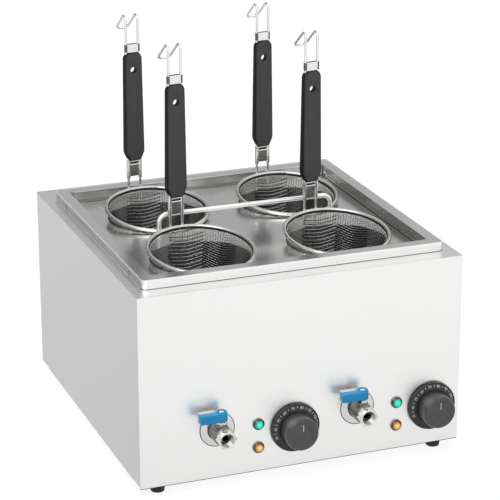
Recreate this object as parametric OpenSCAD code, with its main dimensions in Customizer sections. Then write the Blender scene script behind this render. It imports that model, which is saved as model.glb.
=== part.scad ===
// Countertop pasta cooker with two drained wells and four lift-out baskets.
// Millimetres. +Z is up, the controls face -Y, and the feet stand on Z = 0.

/* [Casing] */
// Width of the casing
casing_w = 430; // [416:1:480]
// Depth of the casing, without taps and cable gland
casing_d = 442; // [430:1:500]
// Height of the casing, without feet and tank frame
casing_h = 250; // [240:1:300]
// Thickness of the casing and frame sheet
sheet_t = 1.2; // [0.8:0.1:2]
// Width of the bottom flanges that carry the feet
bottom_flange = 30; // [27:1:36]
// Length of the casing flange that lies under the tank frame
flange_lap = 7; // [4:0.5:9]

/* [Feet] */
// Height of the rubber feet
foot_h = 12; // [8:0.5:25]
// Diameter of a foot where it meets the casing
foot_d = 20; // [16:0.5:24]
// Distance of the foot axes from the casing sides
foot_inset_x = 27; // [18:1:50]
// Distance of the foot axes from the casing front and rear
foot_inset_y = 15; // [14:0.5:17]
// Diameter of the foot screws
foot_screw_d = 4; // [3:0.5:5]

/* [Tank frame] */
// Height of the frame above the casing
frame_h = 12; // [8:0.5:20]
// Distance from the casing sides to the frame
frame_inset_side = 15; // [10:0.5:20]
// Distance from the casing front to the frame
frame_inset_front = 24.5; // [18:0.5:26]
// Distance from the casing rear to the frame
frame_inset_rear = 39.5; // [30:0.5:42]
// Width of the frame's flat top band
frame_band = 16; // [12:0.5:18]
// Corner radius of the frame outline
frame_corner = 7; // [4:0.5:10]
// Width of the ledge that carries the basket plate
ledge_w = 6; // [4:0.5:8]
// Diameter of the rivet heads on the frame's side walls
rivet_d = 6; // [4:0.5:8]
// Distance between the two rivets of a side wall
rivet_span = 270; // [200:5:320]

/* [Tanks] */
// Gap between the two wells
tank_gap = 20; // [14:1:26]
// Thickness of the tank sheet
tank_t = 1; // [0.8:0.1:1.5]
// Height of the well floor above the casing bottom
tank_floor_h = 46; // [42:1:50]
// Corner radius of the wells
tank_corner = 14; // [8:1:18]

/* [Basket plate] */
// Thickness of the plate
plate_t = 1.5; // [1:0.1:2.5]
// Depth of the plate's middle below the frame top
plate_drop = 14.5; // [11:0.5:18]
// Height of the pressed step that stiffens the plate
plate_step = 1.5; // [1:0.1:3]
// Width of the plate's lower border
plate_border = 7; // [5:0.5:7]
// Free play between the plate and the frame
plate_play = 1; // [0.5:0.1:2]
// Diameter of the basket holes
hole_d = 131; // [130.5:0.1:132]
// Distance between basket axes, left to right
basket_pitch_x = 185; // [181:1:188]
// Distance between basket axes, front to rear
basket_pitch_y = 172; // [171:0.5:176]
// Distance from the frame's inner front wall to the front basket axes
basket_front = 75; // [74:0.5:78]

/* [Lift bar] */
// Diameter of the bar
bar_d = 6; // [4:0.5:7]
// Distance between the axes of the bar's legs
bar_span = 238; // [225:1:250]
// Height of the bar's axis above the plate
bar_h = 33; // [24:1:45]
// Bend radius of the bar's axis
bar_bend = 11; // [8:1:15]

/* [Baskets] */
// Outer diameter of the basket rim
rim_d = 140; // [139.5:0.1:141]
// Diameter of the rim wire
rim_wire_d = 5; // [4:0.1:5.2]
// Forward lean of the baskets, in degrees
basket_tilt = 7.5; // [4:0.5:8]
// Turn of the baskets in their holes, in degrees
basket_turn = 7; // [0:1:12]
// Depth of the mesh cup
cup_depth = 132; // [110:1:140]
// Radius of the cup where the wall turns into the floor
cup_knee_r = 47; // [43:0.5:48]
// Radius of the bend between wall and floor
cup_bend = 18; // [12:1:24]
// Thickness of the mesh
mesh_t = 1.2; // [1:0.1:2]
// Number of mesh openings around the wall
mesh_columns = 20; // [12:1:28]
// Number of rows of openings in the wall
mesh_rows = 6; // [4:1:8]
// Width of the mesh bars
mesh_bar = 2.6; // [2:0.1:4]

/* [Handles] */
// Diameter of the handle wire
wire_d = 3.2; // [2.5:0.1:3.6]
// Distance between the two wires of a handle
wire_pitch = 17; // [16:0.5:18]
// Height of the handle hook above the plate
hook_top_h = 259; // [240:1:300]
// Bend radius of the hook at its top
hook_bend = 5; // [4:0.5:7]
// Lean of the hook's returning end, in degrees
hook_lean = 28; // [15:1:40]
// Straight length of the hook's returning end
hook_run = 13; // [8:1:18]
// Height of the grip's lower end above the plate
grip_h = 60; // [52:1:70]
// Length of the grip
grip_len = 149; // [120:1:155]
// Width of the grip
grip_w = 28; // [25:0.5:32]
// Thickness of the grip
grip_t = 17; // [13:0.5:20]
// Diameter of the hanging hole in the grip
hang_d = 8.5; // [6:0.5:9]
// Distance of the hanging hole from the grip's top
hang_drop = 24; // [18:1:40]
// Height of the collar above the grip
collar_h = 11; // [8:0.5:14]
// Length of the clip below the grip
clip_len = 25; // [15:1:30]

/* [Taps] */
// Distance of a tap from the middle of its well, to the left
tap_offset = 20.5; // [14:0.5:28]
// Height of the tap axes above the casing bottom
tap_h = 65; // [64:0.5:70]
// Distance of the tap outlets from the front panel
tap_reach = 37.5; // [36:0.5:48]
// Diameter of the cover disc
disc_d = 46; // [40:1:52]
// Diameter of the valve barrel
barrel_d = 25; // [24.5:0.5:27]
// Distance of the stem axis from the front panel
stem_reach = 16; // [15.5:0.5:17]
// Diameter of the valve ball
ball_d = 15; // [14:0.5:15.5]
// Diameter of the passage through the ball
passage_d = 9; // [8:0.5:10]
// Diameter of the stem
stem_d = 6; // [5:0.5:7]
// Width across the flats of the outlet
outlet_flats = 22; // [20:0.5:24]
// Diameter of the outlet bore
outlet_d = 15; // [12:0.5:16]
// Diameter of the drain nipple
nipple_d = 20; // [18:0.5:20.5]
// Length of the lever from the stem axis
lever_len = 29; // [24:1:40]
// Width of the lever's arm
lever_w = 13; // [10:0.5:15]
// Height of the lever
lever_h = 12; // [8:0.5:14]
// Height of the lever's underside above the tap axis
lever_rise = 18; // [17.5:0.5:22]

/* [Thermostats] */
// Distance of a knob from its tap
knob_offset = 103; // [98:1:108]
// Height of the knob axes above the casing bottom
knob_h = 52; // [40:1:58]
// Diameter of the knob's number skirt
skirt_d = 64; // [54:1:66]
// Diameter of the knob's grip
knob_grip_d = 43; // [34:1:46]
// Distance of the knob's face from the front panel
knob_reach = 30; // [24:1:36]
// Diameter of the thermostat shaft
shaft_d = 6; // [5:0.5:7]
// Depth of the thermostat's body
thermostat_depth = 27; // [22:1:34]
// Diameter of the sensing bulb
bulb_d = 6; // [5:0.5:8]
// Length of the sensing bulb
bulb_len = 95; // [60:5:130]

/* [Lamps] */
// Distance of the lamps from their tap
lamp_offset = 54.5; // [50:0.5:58]
// Height of the lower lamp above the casing bottom
lamp_h = 31.5; // [26:0.5:36]
// Distance between the two lamps of a set
lamp_pitch = 31.5; // [24:0.5:36]
// Diameter of the lamp lens
lens_d = 15; // [12:0.5:18]
// Diameter of the lamp holder behind the panel
holder_d = 11.6; // [9:0.2:11.6]

/* [Heaters and wiring] */
// Diameter of the heating tube
heater_d = 8; // [6:0.5:10]
// Distance between the legs of a heating loop
heater_span = 90; // [60:2:110]
// Height of the heating loop above the well floor
heater_h = 22; // [16:1:26]
// Distance from the well's front wall to the heating loop
heater_front_gap = 35; // [25:1:60]
// Diameter of the cable gland's thread
gland_d = 20; // [16:0.5:22]
// Distance of the cable gland's tip from the rear panel
gland_reach = 22; // [18:1:30]
// Distance of the cable gland from the casing's right side
gland_inset = 60; // [40:1:90]
// Height of the cable gland above the casing bottom
gland_h = 45; // [40:1:60]

/* [Hidden] */
$fn = 64;

// Gap between pieces that are fixed to each other round a curve
fixed_gap = 0.1;
// Gap round a screw, thread or tube that passes through a sheet
hole_gap = 0.3;
// Radial clearance of a turning shaft
running_gap = 0.05;
// Height at which a lifted piece rests clear of what carries it
seat_gap = 0.3;
// Overhang of a cut past the faces that it opens
cut = 1;
// Sides of the bent wires
wire_sides = 12;

// Levels and walls of the casing
y_front = (tap_reach - casing_d - gland_reach) / 2;
y_rear = y_front + casing_d;
x_side = casing_w / 2;
z_base = foot_h;
z_inside = z_base + 2 * sheet_t;
z_top = z_base + casing_h;

// Levels and walls of the tank frame and the wells
z_frame = z_top + frame_h;
z_plate = z_frame - plate_drop;
z_border = z_plate - plate_step;
z_deck = z_border - plate_t;
z_flange = z_deck - sheet_t;
z_floor = z_base + tank_floor_h;
frame_x = x_side - frame_inset_side;
frame_y0 = y_front + frame_inset_front;
frame_y1 = y_rear - frame_inset_rear;
wall_x = frame_x - frame_band;
wall_y0 = frame_y0 + frame_band;
wall_y1 = frame_y1 - frame_band;
wall_corner = frame_corner;
well_x0 = tank_gap / 2;
well_x1 = wall_x - ledge_w;
well_y0 = wall_y0 + ledge_w;
well_y1 = wall_y1 - ledge_w;
well_mid = (well_x0 + well_x1) / 2;

// Baskets, counted front left, front right, rear left, rear right
rim_r = (rim_d - rim_wire_d) / 2;
z_rim = z_plate + seat_gap + rim_wire_d / 2 + rim_r * sin(basket_tilt);
cup_r = rim_r - rim_wire_d / 2 - fixed_gap;
cup_top = rim_wire_d / 4;
leg_reach = rim_r * cos(basket_tilt) + (rim_wire_d + wire_d) / 2 + fixed_gap;
leg_y = sqrt(leg_reach * leg_reach - wire_pitch * wire_pitch / 4);
bar_y = basket_y(0) + basket_pitch_y / 2;
function basket_x(i) = (i % 2 - 0.5) * basket_pitch_x;
function basket_y(i) = wall_y0 + basket_front + floor(i / 2) * basket_pitch_y;

// Taps, lamps and thermostats, counted left and right
z_tap = z_base + tap_h;
z_knob = z_base + knob_h;
panel_to_tank = well_y0 - y_front;
function control_x(i) = (2 * i - 1) * well_mid - tap_offset;
function knob_x(i) = control_x(i) + knob_offset;
function lamp_x(i) = control_x(i) + lamp_offset;

// Valves: the nipple ends in the barrel, and a tang of the stem turns the ball
nipple_reach = 6;
disc_t = 2;
boss_d = stem_d + 8;
gland_nut_h = 3.5;
gland_nut_gap = 0.5;
boss_top = lever_rise - gland_nut_h - gland_nut_gap;
barrel_end = stem_reach + ball_d / 2 + 1;
tang_w = 2.4;
tang_h = 2;
hub_cap_t = 2.5;

// Thermostats: the bush passes the panel, and a capillary leads to the bulb in the well
bush_d = shaft_d + 3;
bush_out = 1.5;
thermostat_d = 38;
shaft_back = -sheet_t - thermostat_depth + 8;
knob_face_t = 6;
bulb_thread_d = bulb_d + 2;
bulb_side = 45;
bulb_rise = 30;
z_bulb = z_knob + bulb_rise;
capillary_d = 2.4;
holder_flange = 0.8;
function bulb_x(i) = knob_x(i) - bulb_side;

// Heating loops enter through the rear walls of the wells
z_heater = z_floor + heater_h;
heater_front = well_y0 + heater_front_gap + heater_span / 2;
heater_tail = 24;
heater_thread_d = heater_d + 4;

// Cable gland on the rear panel
gland_x = x_side - gland_inset;
z_gland = z_base + gland_h;

// Finishes
steel = "gainsboro";
wire_steel = "silver";
nickel = "lightgray";
black = "dimgray";

// Rectangle with rounded corners, from corner [x0, y0] to corner [x1, y1]
module round_rect(x0, y0, x1, y1, r) {
  translate([x0 + r, y0]) square([x1 - x0 - 2 * r, y1 - y0]);
  translate([x0, y0 + r]) square([x1 - x0, y1 - y0 - 2 * r]);
  for (x = [x0 + r, x1 - r])
    for (y = [y0 + r, y1 - r])
      translate([x, y]) circle(r);
}

// Rounded outlines of the frame's outer face and inner wall, moved in by an inset
module frame_outline(inset) {
  round_rect(-frame_x + inset, frame_y0 + inset, frame_x - inset, frame_y1 - inset,
             frame_corner - min(inset, frame_corner / 2));
}

module wall_outline(inset) {
  round_rect(-wall_x + inset, wall_y0 + inset, wall_x - inset, wall_y1 - inset, wall_corner);
}

// Outline of one well, side -1 at the left and 1 at the right
module well_outline(side, inset) {
  x0 = min(side * well_x0, side * well_x1);
  x1 = max(side * well_x0, side * well_x1);
  round_rect(x0 + inset, well_y0 + inset, x1 - inset, well_y1 - inset, tank_corner);
}

// Slab between two levels
module slab(z0, z1) {
  translate([0, 0, z0]) linear_extrude(z1 - z0) children();
}

// Box between two corners
module box(low, high) {
  translate(low) cube(high - low);
}

// Local frame on the front panel: +Z leaves the panel, +Y is up
module at_panel(x, z) {
  translate([x, y_front, z]) rotate([90, 0, 0]) children();
}

// Cylinder between two heights of its own axis
module rod(d, z0, z1) {
  translate([0, 0, z0]) cylinder(d = d, h = z1 - z0);
}

// Hexagon prism between two heights, given across its flats
module hex_bar(flats, z0, z1) {
  translate([0, 0, z0]) cylinder(d = flats / cos(30), h = z1 - z0, $fn = 6);
}

// Part of a ring of wire that turns about Z, starting at +X
module wire_bend(d, radius, angle) {
  rotate_extrude(angle = angle) translate([radius, 0]) circle(d = d);
}

// Solid through a list of rings with the same number of points
module loft(rings) {
  n = len(rings[0]);
  last = len(rings) - 1;
  polyhedron(
    points = [for (ring = rings) each ring],
    faces = [
      [for (k = [0 : n - 1]) k],
      for (r = [0 : last - 1])
        for (k = [0 : n - 1])
          each [
            [r * n + k, (r + 1) * n + k, (r + 1) * n + (k + 1) % n],
            [r * n + k, (r + 1) * n + (k + 1) % n, r * n + (k + 1) % n]
          ],
      [for (k = [n - 1 : -1 : 0]) last * n + k]
    ]
  );
}

module at_feet() {
  for (x = [-1, 1])
    for (y = [y_front + foot_inset_y, y_rear - foot_inset_y])
      translate([x * (x_side - foot_inset_x), y, 0]) children();
}

module foot_holes() {
  at_feet() rod(foot_screw_d + 2 * hole_gap, z_base - cut, z_inside + cut);
}

// Panel with a wide top flange, a bottom flange and no openings, at the front of the box
module flanged_panel(top_w) {
  box([-x_side, 0, z_base], [x_side, sheet_t, z_top]);
  box([-x_side, 0, z_top - sheet_t], [x_side, top_w, z_top]);
  box([-x_side + sheet_t, 0, z_base], [x_side - sheet_t, bottom_flange, z_base + sheet_t]);
}

module front_panel() {
  color(steel)
  difference() {
    translate([0, y_front, 0]) flanged_panel(frame_inset_front + flange_lap);
    for (i = [0, 1]) {
      at_panel(control_x(i), z_tap) rod(nipple_d + 2 * hole_gap, -sheet_t - cut, cut);
      at_panel(knob_x(i), z_knob) rod(bush_d + 2 * hole_gap, -sheet_t - cut, cut);
      for (lamp = [0, 1])
        at_panel(lamp_x(i), z_base + lamp_h + lamp * lamp_pitch)
          rod(holder_d + 2 * hole_gap, -sheet_t - cut, cut);
    }
    foot_holes();
  }
}

module rear_panel() {
  slot_w = 4;
  slot_h = 60;
  slot_pitch = 12;
  slots = 12;
  color(steel)
  difference() {
    translate([0, y_rear, 0]) mirror([0, 1, 0]) flanged_panel(frame_inset_rear + flange_lap);
    translate([gland_x, y_rear + cut, z_gland])
      rotate([90, 0, 0]) rod(gland_d + 2 * hole_gap, 0, sheet_t + 2 * cut);
    for (k = [0 : slots - 1])
      translate([(k - slots / 2) * slot_pitch, y_rear - sheet_t - cut, z_floor + slot_h / 2])
        cube([slot_w, sheet_t + 2 * cut, slot_h]);
    foot_holes();
  }
}

// Side panel between the front and rear panels, side -1 at the left and 1 at the right
module side_panel(side) {
  outer = side * x_side;
  y0 = y_front + sheet_t;
  y1 = y_rear - sheet_t;
  flange_y0 = y_front + frame_inset_front + flange_lap;
  flange_y1 = y_rear - frame_inset_rear - flange_lap;
  flange_in = side * (x_side - frame_inset_side - flange_lap);
  bottom_in = side * (x_side - bottom_flange / 2);
  wall_in = side * (x_side - sheet_t);
  color(steel) {
    box([min(outer, wall_in), y0, z_base + sheet_t], [max(outer, wall_in), y1, z_top - sheet_t]);
    box([min(outer, flange_in), flange_y0, z_top - sheet_t], [max(outer, flange_in), flange_y1, z_top]);
    box([min(outer, bottom_in), y_front + bottom_flange, z_base],
        [max(outer, bottom_in), y_rear - bottom_flange, z_base + sheet_t]);
  }
}

module base_plate() {
  vent_len = 60;
  vent_w = 5;
  vent_pitch = 14;
  vents = 9;
  color(steel)
  difference() {
    box([-x_side + sheet_t, y_front + sheet_t, z_base + sheet_t],
        [x_side - sheet_t, y_rear - sheet_t, z_inside]);
    foot_holes();
    for (side = [-1, 1])
      for (k = [0 : vents - 1])
        translate([side * well_mid - vent_len / 2, (k - (vents - 1) / 2) * vent_pitch, z_base])
          cube([vent_len, vent_w, z_inside]);
  }
}

// Depth to which a foot's screw is sunk
foot_recess = foot_h / 2;

// Tapered rubber foot with a sunk screw
module feet() {
  recess_d = 2.4 * foot_screw_d;
  round_r = 1.5;
  bottom_r = foot_d / 2 - 1.2;
  color("black")
  at_feet() difference() {
    rotate_extrude() polygon([
      [0, 0],
      for (a = [0 : 15 : 90]) [bottom_r - round_r + round_r * sin(a), round_r - round_r * cos(a)],
      [foot_d / 2, foot_h],
      [0, foot_h]
    ]);
    rod(recess_d, -cut, foot_recess);
    rod(foot_screw_d + 2 * hole_gap, 0, foot_h + cut);
  }
}

module foot_screws() {
  head_d = 2 * foot_screw_d;
  head_h = foot_screw_d / 2;
  nut_flats = 1.75 * foot_screw_d;
  nut_h = 0.8 * foot_screw_d;
  screw_end = 1;
  color(wire_steel)
  at_feet() {
    rod(head_d, foot_recess - head_h, foot_recess);
    rod(foot_screw_d, foot_recess - head_h, z_inside + nut_h + screw_end);
    hex_bar(nut_flats, z_inside, z_inside + nut_h);
  }
}

// Raised frame: an upturned channel whose inner wall stands on the deck
module tank_frame() {
  color(steel)
  difference() {
    union() {
      slab(z_frame - sheet_t, z_frame) frame_outline(0);
      slab(z_top, z_frame) difference() {
        frame_outline(0);
        frame_outline(sheet_t);
      }
      slab(z_deck, z_frame) wall_outline(-sheet_t);
    }
    slab(z_deck - cut, z_frame + cut) wall_outline(0);
    at_rivets() rod(rivet_d / 2 + 2 * hole_gap, -2 * sheet_t, cut);
  }
}

// Local frame of each rivet: +Z leaves the side wall of the tank frame
module at_rivets() {
  rivet_z = z_top + frame_h / 3;
  rivet_mid = (frame_y0 + frame_y1) / 2;
  for (side = [-1, 1])
    for (k = [-0.5, 0.5])
      translate([side * frame_x, rivet_mid + k * rivet_span, rivet_z])
        rotate([0, side * 90, 0]) children();
}

module frame_rivets() {
  head_h = rivet_d / 4;
  tail_h = 1.5;
  dome_r = (rivet_d * rivet_d / 4 + head_h * head_h) / (2 * head_h);
  color(wire_steel)
  at_rivets() {
    intersection() {
      translate([0, 0, head_h - dome_r]) sphere(r = dome_r);
      rod(2 * rivet_d, 0, 2 * head_h);
    }
    rod(rivet_d / 2, -sheet_t - tail_h, head_h / 2);
    rod(rivet_d / 2 + 2, -sheet_t - tail_h, -sheet_t);
  }
}

// Flat sheet inside the frame, open over both wells, that carries the plate
module well_deck() {
  color(steel)
  difference() {
    slab(z_flange, z_deck) wall_outline(-sheet_t);
    for (side = [-1, 1])
      slab(z_flange - cut, z_deck + cut) well_outline(side, tank_t);
  }
}

// Well with a flange under the deck and holes for drain, bulb and heater
module tank(side) {
  i = (side + 1) / 2;
  flange_w = min(ledge_w, tank_gap / 2) - 1;
  color(steel)
  difference() {
    union() {
      slab(z_floor - tank_t, z_flange) well_outline(side, 0);
      slab(z_flange - tank_t, z_flange) well_outline(side, -flange_w);
    }
    slab(z_floor, z_flange + cut) well_outline(side, tank_t);
    at_panel(control_x(i), z_tap)
      rod(nipple_d + 2 * hole_gap, -panel_to_tank - tank_t - cut, -panel_to_tank + cut);
    at_panel(bulb_x(i), z_bulb)
      rod(bulb_thread_d + 2 * hole_gap, -panel_to_tank - tank_t - cut, -panel_to_tank + cut);
    for (k = [-0.5, 0.5])
      translate([side * well_mid + k * heater_span, well_y1 + cut, z_heater])
        rotate([90, 0, 0]) rod(heater_thread_d + 2 * hole_gap, 0, tank_t + 2 * cut);
  }
}

// Threaded tubes from the wells to the taps
module drain_nipples() {
  inner = -panel_to_tank - tank_t;
  wall = 3;
  bore_d = nipple_d - 2 * wall;
  flange_d = nipple_d + 8;
  flange_t = 2;
  color(nickel)
  for (i = [0, 1])
    at_panel(control_x(i), z_tap) difference() {
      union() {
        rod(nipple_d, inner - flange_t, nipple_reach);
        rod(flange_d, inner - flange_t, inner);
      }
      rod(bore_d, inner - flange_t - cut, nipple_reach + cut);
    }
}

// Dished cover discs between the front panel and the taps
module tap_discs() {
  edge_t = 0.8;
  flat_d = barrel_d + 6;
  color(nickel)
  for (i = [0, 1])
    at_panel(control_x(i), z_tap) rotate_extrude() polygon([
      [nipple_d / 2 + hole_gap, 0],
      [disc_d / 2, 0],
      [disc_d / 2, edge_t],
      [flat_d / 2, disc_t],
      [nipple_d / 2 + hole_gap, disc_t]
    ]);
}

// Ball valve with a round barrel, a stem boss on top and a six-sided outlet
module valve_body(i) {
  neck_z = barrel_end;
  neck_h = 3;
  outlet_z = neck_z + neck_h;
  thread_depth = tap_reach - outlet_z - 0.5;
  color(nickel)
  at_panel(control_x(i), z_tap) difference() {
    union() {
      rod(barrel_d, disc_t, neck_z);
      translate([0, 0, neck_z]) cylinder(d1 = barrel_d, d2 = outlet_flats - 2, h = neck_h);
      hex_bar(outlet_flats, outlet_z, tap_reach);
      translate([0, 0, stem_reach]) rotate([-90, 0, 0]) rod(boss_d, 0, boss_top);
    }
    rod(nipple_d + 2 * fixed_gap, 0, nipple_reach);
    rod(passage_d, 0, tap_reach);
    rod(outlet_d, tap_reach - thread_depth, tap_reach + cut);
    translate([0, 0, stem_reach]) sphere(d = ball_d + 2 * seat_gap);
    translate([0, 0, stem_reach]) rotate([-90, 0, 0])
      rod(stem_d + 2 * running_gap, 0, boss_top + cut);
  }
}

// Packing nuts on top of the stem bosses
module gland_nuts() {
  color(wire_steel)
  for (i = [0, 1])
    at_panel(control_x(i), z_tap) translate([0, 0, stem_reach]) rotate([-90, 0, 0])
      difference() {
        hex_bar(boss_d - 2, boss_top, boss_top + gland_nut_h);
        rod(stem_d + 2 * running_gap, boss_top - cut, boss_top + gland_nut_h + cut);
      }
}

// Ball with its passage across the pipe, so that the tap is shut
module valve_ball(i) {
  color(wire_steel)
  at_stem(i) difference() {
    sphere(d = ball_d);
    rotate([0, 90, 0]) rod(passage_d, -ball_d, ball_d);
    translate([-ball_d, -tang_w / 2 - fixed_gap, ball_d / 2 - tang_h - fixed_gap])
      cube([2 * ball_d, tang_w + 2 * fixed_gap, ball_d]);
  }
}

// Stem from the ball's slot to the top of the lever's hub
module valve_stem(i) {
  color(nickel)
  at_stem(i) {
    intersection() {
      rod(stem_d, ball_d / 2 - tang_h, ball_d / 2 + 1);
      translate([-stem_d, -tang_w / 2, 0]) cube([2 * stem_d, tang_w, ball_d]);
    }
    rod(stem_d, ball_d / 2 + fixed_gap, lever_rise + lever_h - hub_cap_t);
  }
}

// One-sided lever with a domed hub, across the pipe at rest
module tap_lever(i) {
  hub_d = stem_d + 9;
  dome_h = 2;
  tip_round = 2;
  dome_r = (hub_d * hub_d / 4 + dome_h * dome_h) / (2 * dome_h);
  color("dodgerblue")
  at_stem(i) difference() {
    union() {
      slab(lever_rise, lever_rise + lever_h) {
        circle(d = hub_d);
        round_rect(-lever_len, -lever_w / 2, hub_d / 4, lever_w / 2, tip_round);
      }
      intersection() {
        translate([0, 0, lever_rise + lever_h + dome_h - dome_r]) sphere(r = dome_r);
        rod(2 * hub_d, lever_rise + lever_h, lever_rise + lever_h + 2 * dome_h);
      }
    }
    rod(stem_d + 2 * fixed_gap, lever_rise - cut, lever_rise + lever_h - hub_cap_t + fixed_gap);
  }
}

// Frame on the stem axis with +Z up and its origin in the middle of the ball
module at_stem(i) {
  translate([control_x(i), y_front - stem_reach, z_tap]) children();
}

// Thermostat behind the panel, with its bush through the panel
module thermostat(i) {
  ear_w = 34;
  ear_h = 50;
  back = -sheet_t - thermostat_depth;
  tab_w = 6.3;
  tab_t = 0.8;
  tab_len = 8;
  color("white")
  at_panel(knob_x(i), z_knob) difference() {
    union() {
      rod(thermostat_d, back, -sheet_t);
      translate([-ear_w / 2, -ear_h / 2, -2 * sheet_t]) cube([ear_w, ear_h, sheet_t]);
      rod(bush_d, -2 * sheet_t, bush_out);
      for (k = [-1, 1])
        translate([k * thermostat_d / 4 - tab_w / 2, -tab_t / 2, back - tab_len])
          cube([tab_w, tab_t, tab_len + 1]);
    }
    rod(shaft_d + 2 * running_gap, shaft_back - 0.5, bush_out + cut);
  }
}

// Shaft with one flat, shared by the thermostat and the knob's socket
module flatted_shaft(z0, z1, gap) {
  flat = shaft_d / 4;
  difference() {
    rod(shaft_d + 2 * gap, z0, z1);
    translate([-shaft_d, flat + gap, bush_out + 1]) cube([2 * shaft_d, shaft_d, z1]);
  }
}

module thermostat_shaft(i) {
  color(nickel)
  at_panel(knob_x(i), z_knob) flatted_shaft(shaft_back, knob_reach - knob_face_t, 0);
}

// Knob with a thin number skirt and a round tapered grip
module knob(i) {
  back = bush_out + 1;
  skirt_edge = 2.5;
  skirt_rise = 2;
  grip_foot = back + skirt_edge + skirt_rise;
  grip_r = knob_grip_d / 2;
  edge_r = 3;
  draft = 0.8;
  top_r = grip_r - draft;
  hollow_h = skirt_edge;
  color(black)
  at_panel(knob_x(i), z_knob) difference() {
    rotate_extrude() polygon([
      [0, back],
      [skirt_d / 2 - 0.6, back],
      [skirt_d / 2, back + 0.6],
      [skirt_d / 2, back + skirt_edge - 0.8],
      [skirt_d / 2 - 0.8, back + skirt_edge],
      [grip_r, grip_foot],
      for (a = [0 : 15 : 90])
        [top_r - edge_r + edge_r * cos(a), knob_reach - edge_r + edge_r * sin(a)],
      [0, knob_reach]
    ]);
    rotate_extrude() polygon([
      [bush_d, back - cut],
      [skirt_d / 2 - 3, back - cut],
      [skirt_d / 2 - 3, back + hollow_h - 1],
      [bush_d, back + hollow_h]
    ]);
    flatted_shaft(back - cut, knob_reach - knob_face_t + fixed_gap, fixed_gap);
  }
}

// Sensing bulbs in the wells, each with its threaded bush and a capillary to the thermostat
module sensing_bulbs() {
  bush_flats = bulb_thread_d + 4;
  bush_head = 5;
  bend = 8;
  inner = -panel_to_tank - tank_t;
  run_z = -sheet_t - thermostat_depth / 2;
  drop = bulb_rise - thermostat_d / 2;
  color(wire_steel)
  for (i = [0, 1])
    at_panel(bulb_x(i), z_bulb) {
      rod(bulb_d, inner - bush_head - bulb_len, inner - 1);
      rod(bulb_thread_d, inner - bush_head, -panel_to_tank);
      hex_bar(bush_flats, inner - bush_head, inner);
      hex_bar(bush_flats, -panel_to_tank, -panel_to_tank + bush_head);
      rod(capillary_d, -panel_to_tank, run_z - bend);
      translate([bend, 0, run_z - bend]) rotate([-90, 0, 0]) rotate([0, 0, 180])
        wire_bend(capillary_d, bend, 90);
      translate([bend, 0, run_z]) rotate([0, 90, 0]) rod(capillary_d, 0, bulb_side - 2 * bend);
      translate([bulb_side - bend, -bend, run_z]) wire_bend(capillary_d, bend, 90);
      translate([bulb_side, -drop + fixed_gap, run_z]) rotate([-90, 0, 0])
        rod(capillary_d, 0, drop - bend - fixed_gap);
    }
}

// Heating loop: two legs through the rear wall and a round bend at the front
module heater(side) {
  collar_d = heater_thread_d + 5;
  collar_t = 4;
  thread_tail = 10;
  color("dimgray")
  translate([side * well_mid, 0, z_heater]) {
    for (k = [-1, 1])
      translate([k * heater_span / 2, well_y1 + heater_tail, 0]) rotate([90, 0, 0]) {
        rod(heater_d, 0, well_y1 + heater_tail - heater_front);
        rod(heater_thread_d, heater_tail - thread_tail, heater_tail + tank_t + collar_t);
        rod(collar_d, heater_tail + tank_t, heater_tail + tank_t + collar_t);
      }
    translate([0, heater_front, 0]) rotate([0, 0, 180]) wire_bend(heater_d, heater_span / 2, 180);
  }
}

// Frames of the two lamps of a set, lamp 0 below and lamp 1 above
module at_lamp(i, lamp) {
  at_panel(lamp_x(i), z_base + lamp_h + lamp * lamp_pitch) children();
}

module lamp_holders() {
  length = 22;
  tab_w = 4;
  color("whitesmoke")
  for (i = [0, 1])
    for (lamp = [0, 1])
      at_lamp(i, lamp) {
        rod(lens_d - 1, 0, holder_flange);
        rod(holder_d, -length, holder_flange);
        for (k = [-1, 1])
          translate([k * 3 - 0.4, -tab_w / 2, -length - 7]) cube([0.8, tab_w, 8]);
      }
}

// Domed lens that covers the holder's flange
module lens(i, lamp) {
  skirt = 1.2;
  dome_h = lens_d / 4;
  dome_r = (lens_d * lens_d / 4 + dome_h * dome_h) / (2 * dome_h);
  at_lamp(i, lamp) {
    rod(lens_d, holder_flange, holder_flange + skirt);
    intersection() {
      translate([0, 0, holder_flange + skirt + dome_h - dome_r]) sphere(r = dome_r);
      rod(2 * lens_d, holder_flange + skirt, holder_flange + lens_d);
    }
  }
}

module green_lenses() {
  color("mediumseagreen")
  for (i = [0, 1]) lens(i, 1);
}

module amber_lenses() {
  color("orange")
  for (i = [0, 1]) lens(i, 0);
}

// Screw terminals for the mains lead, beside the cable gland
module terminal_block() {
  poles = 3;
  pole_pitch = 16;
  depth = 24;
  height = 20;
  screw_d = 5;
  setback = 70;
  length = poles * pole_pitch;
  color("ivory")
  translate([gland_x - length / 2, y_rear - setback, z_inside]) difference() {
    cube([length, depth, height]);
    for (k = [0 : poles - 1])
      translate([(k + 0.5) * pole_pitch, 0, 0]) {
        translate([0, -cut, height / 2]) rotate([-90, 0, 0]) rod(screw_d, 0, depth + 2 * cut);
        translate([0, depth / 2, height / 2]) rod(screw_d, 0, height);
      }
    for (k = [1 : poles - 1])
      translate([k * pole_pitch - 1, -cut, height * 0.6]) cube([2, depth + 2 * cut, height]);
  }
}

// Cable gland on the rear panel: thread and locknut inside, clamping dome outside
module cable_gland() {
  flats = gland_d + 4;
  hex_t = 5;
  nut_t = 4;
  tip_d = gland_d * 0.7;
  bore_d = gland_d / 2;
  color(black)
  translate([gland_x, y_rear, z_gland]) rotate([-90, 0, 0]) difference() {
    union() {
      rod(gland_d, -sheet_t - nut_t - 2, hex_t);
      hex_bar(flats, -sheet_t - nut_t, -sheet_t);
      hex_bar(flats, 0, hex_t);
      translate([0, 0, hex_t]) cylinder(d1 = flats - 1, d2 = tip_d, h = gland_reach - hex_t);
    }
    rod(bore_d, -sheet_t - nut_t - 3, gland_reach + cut);
  }
}

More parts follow.
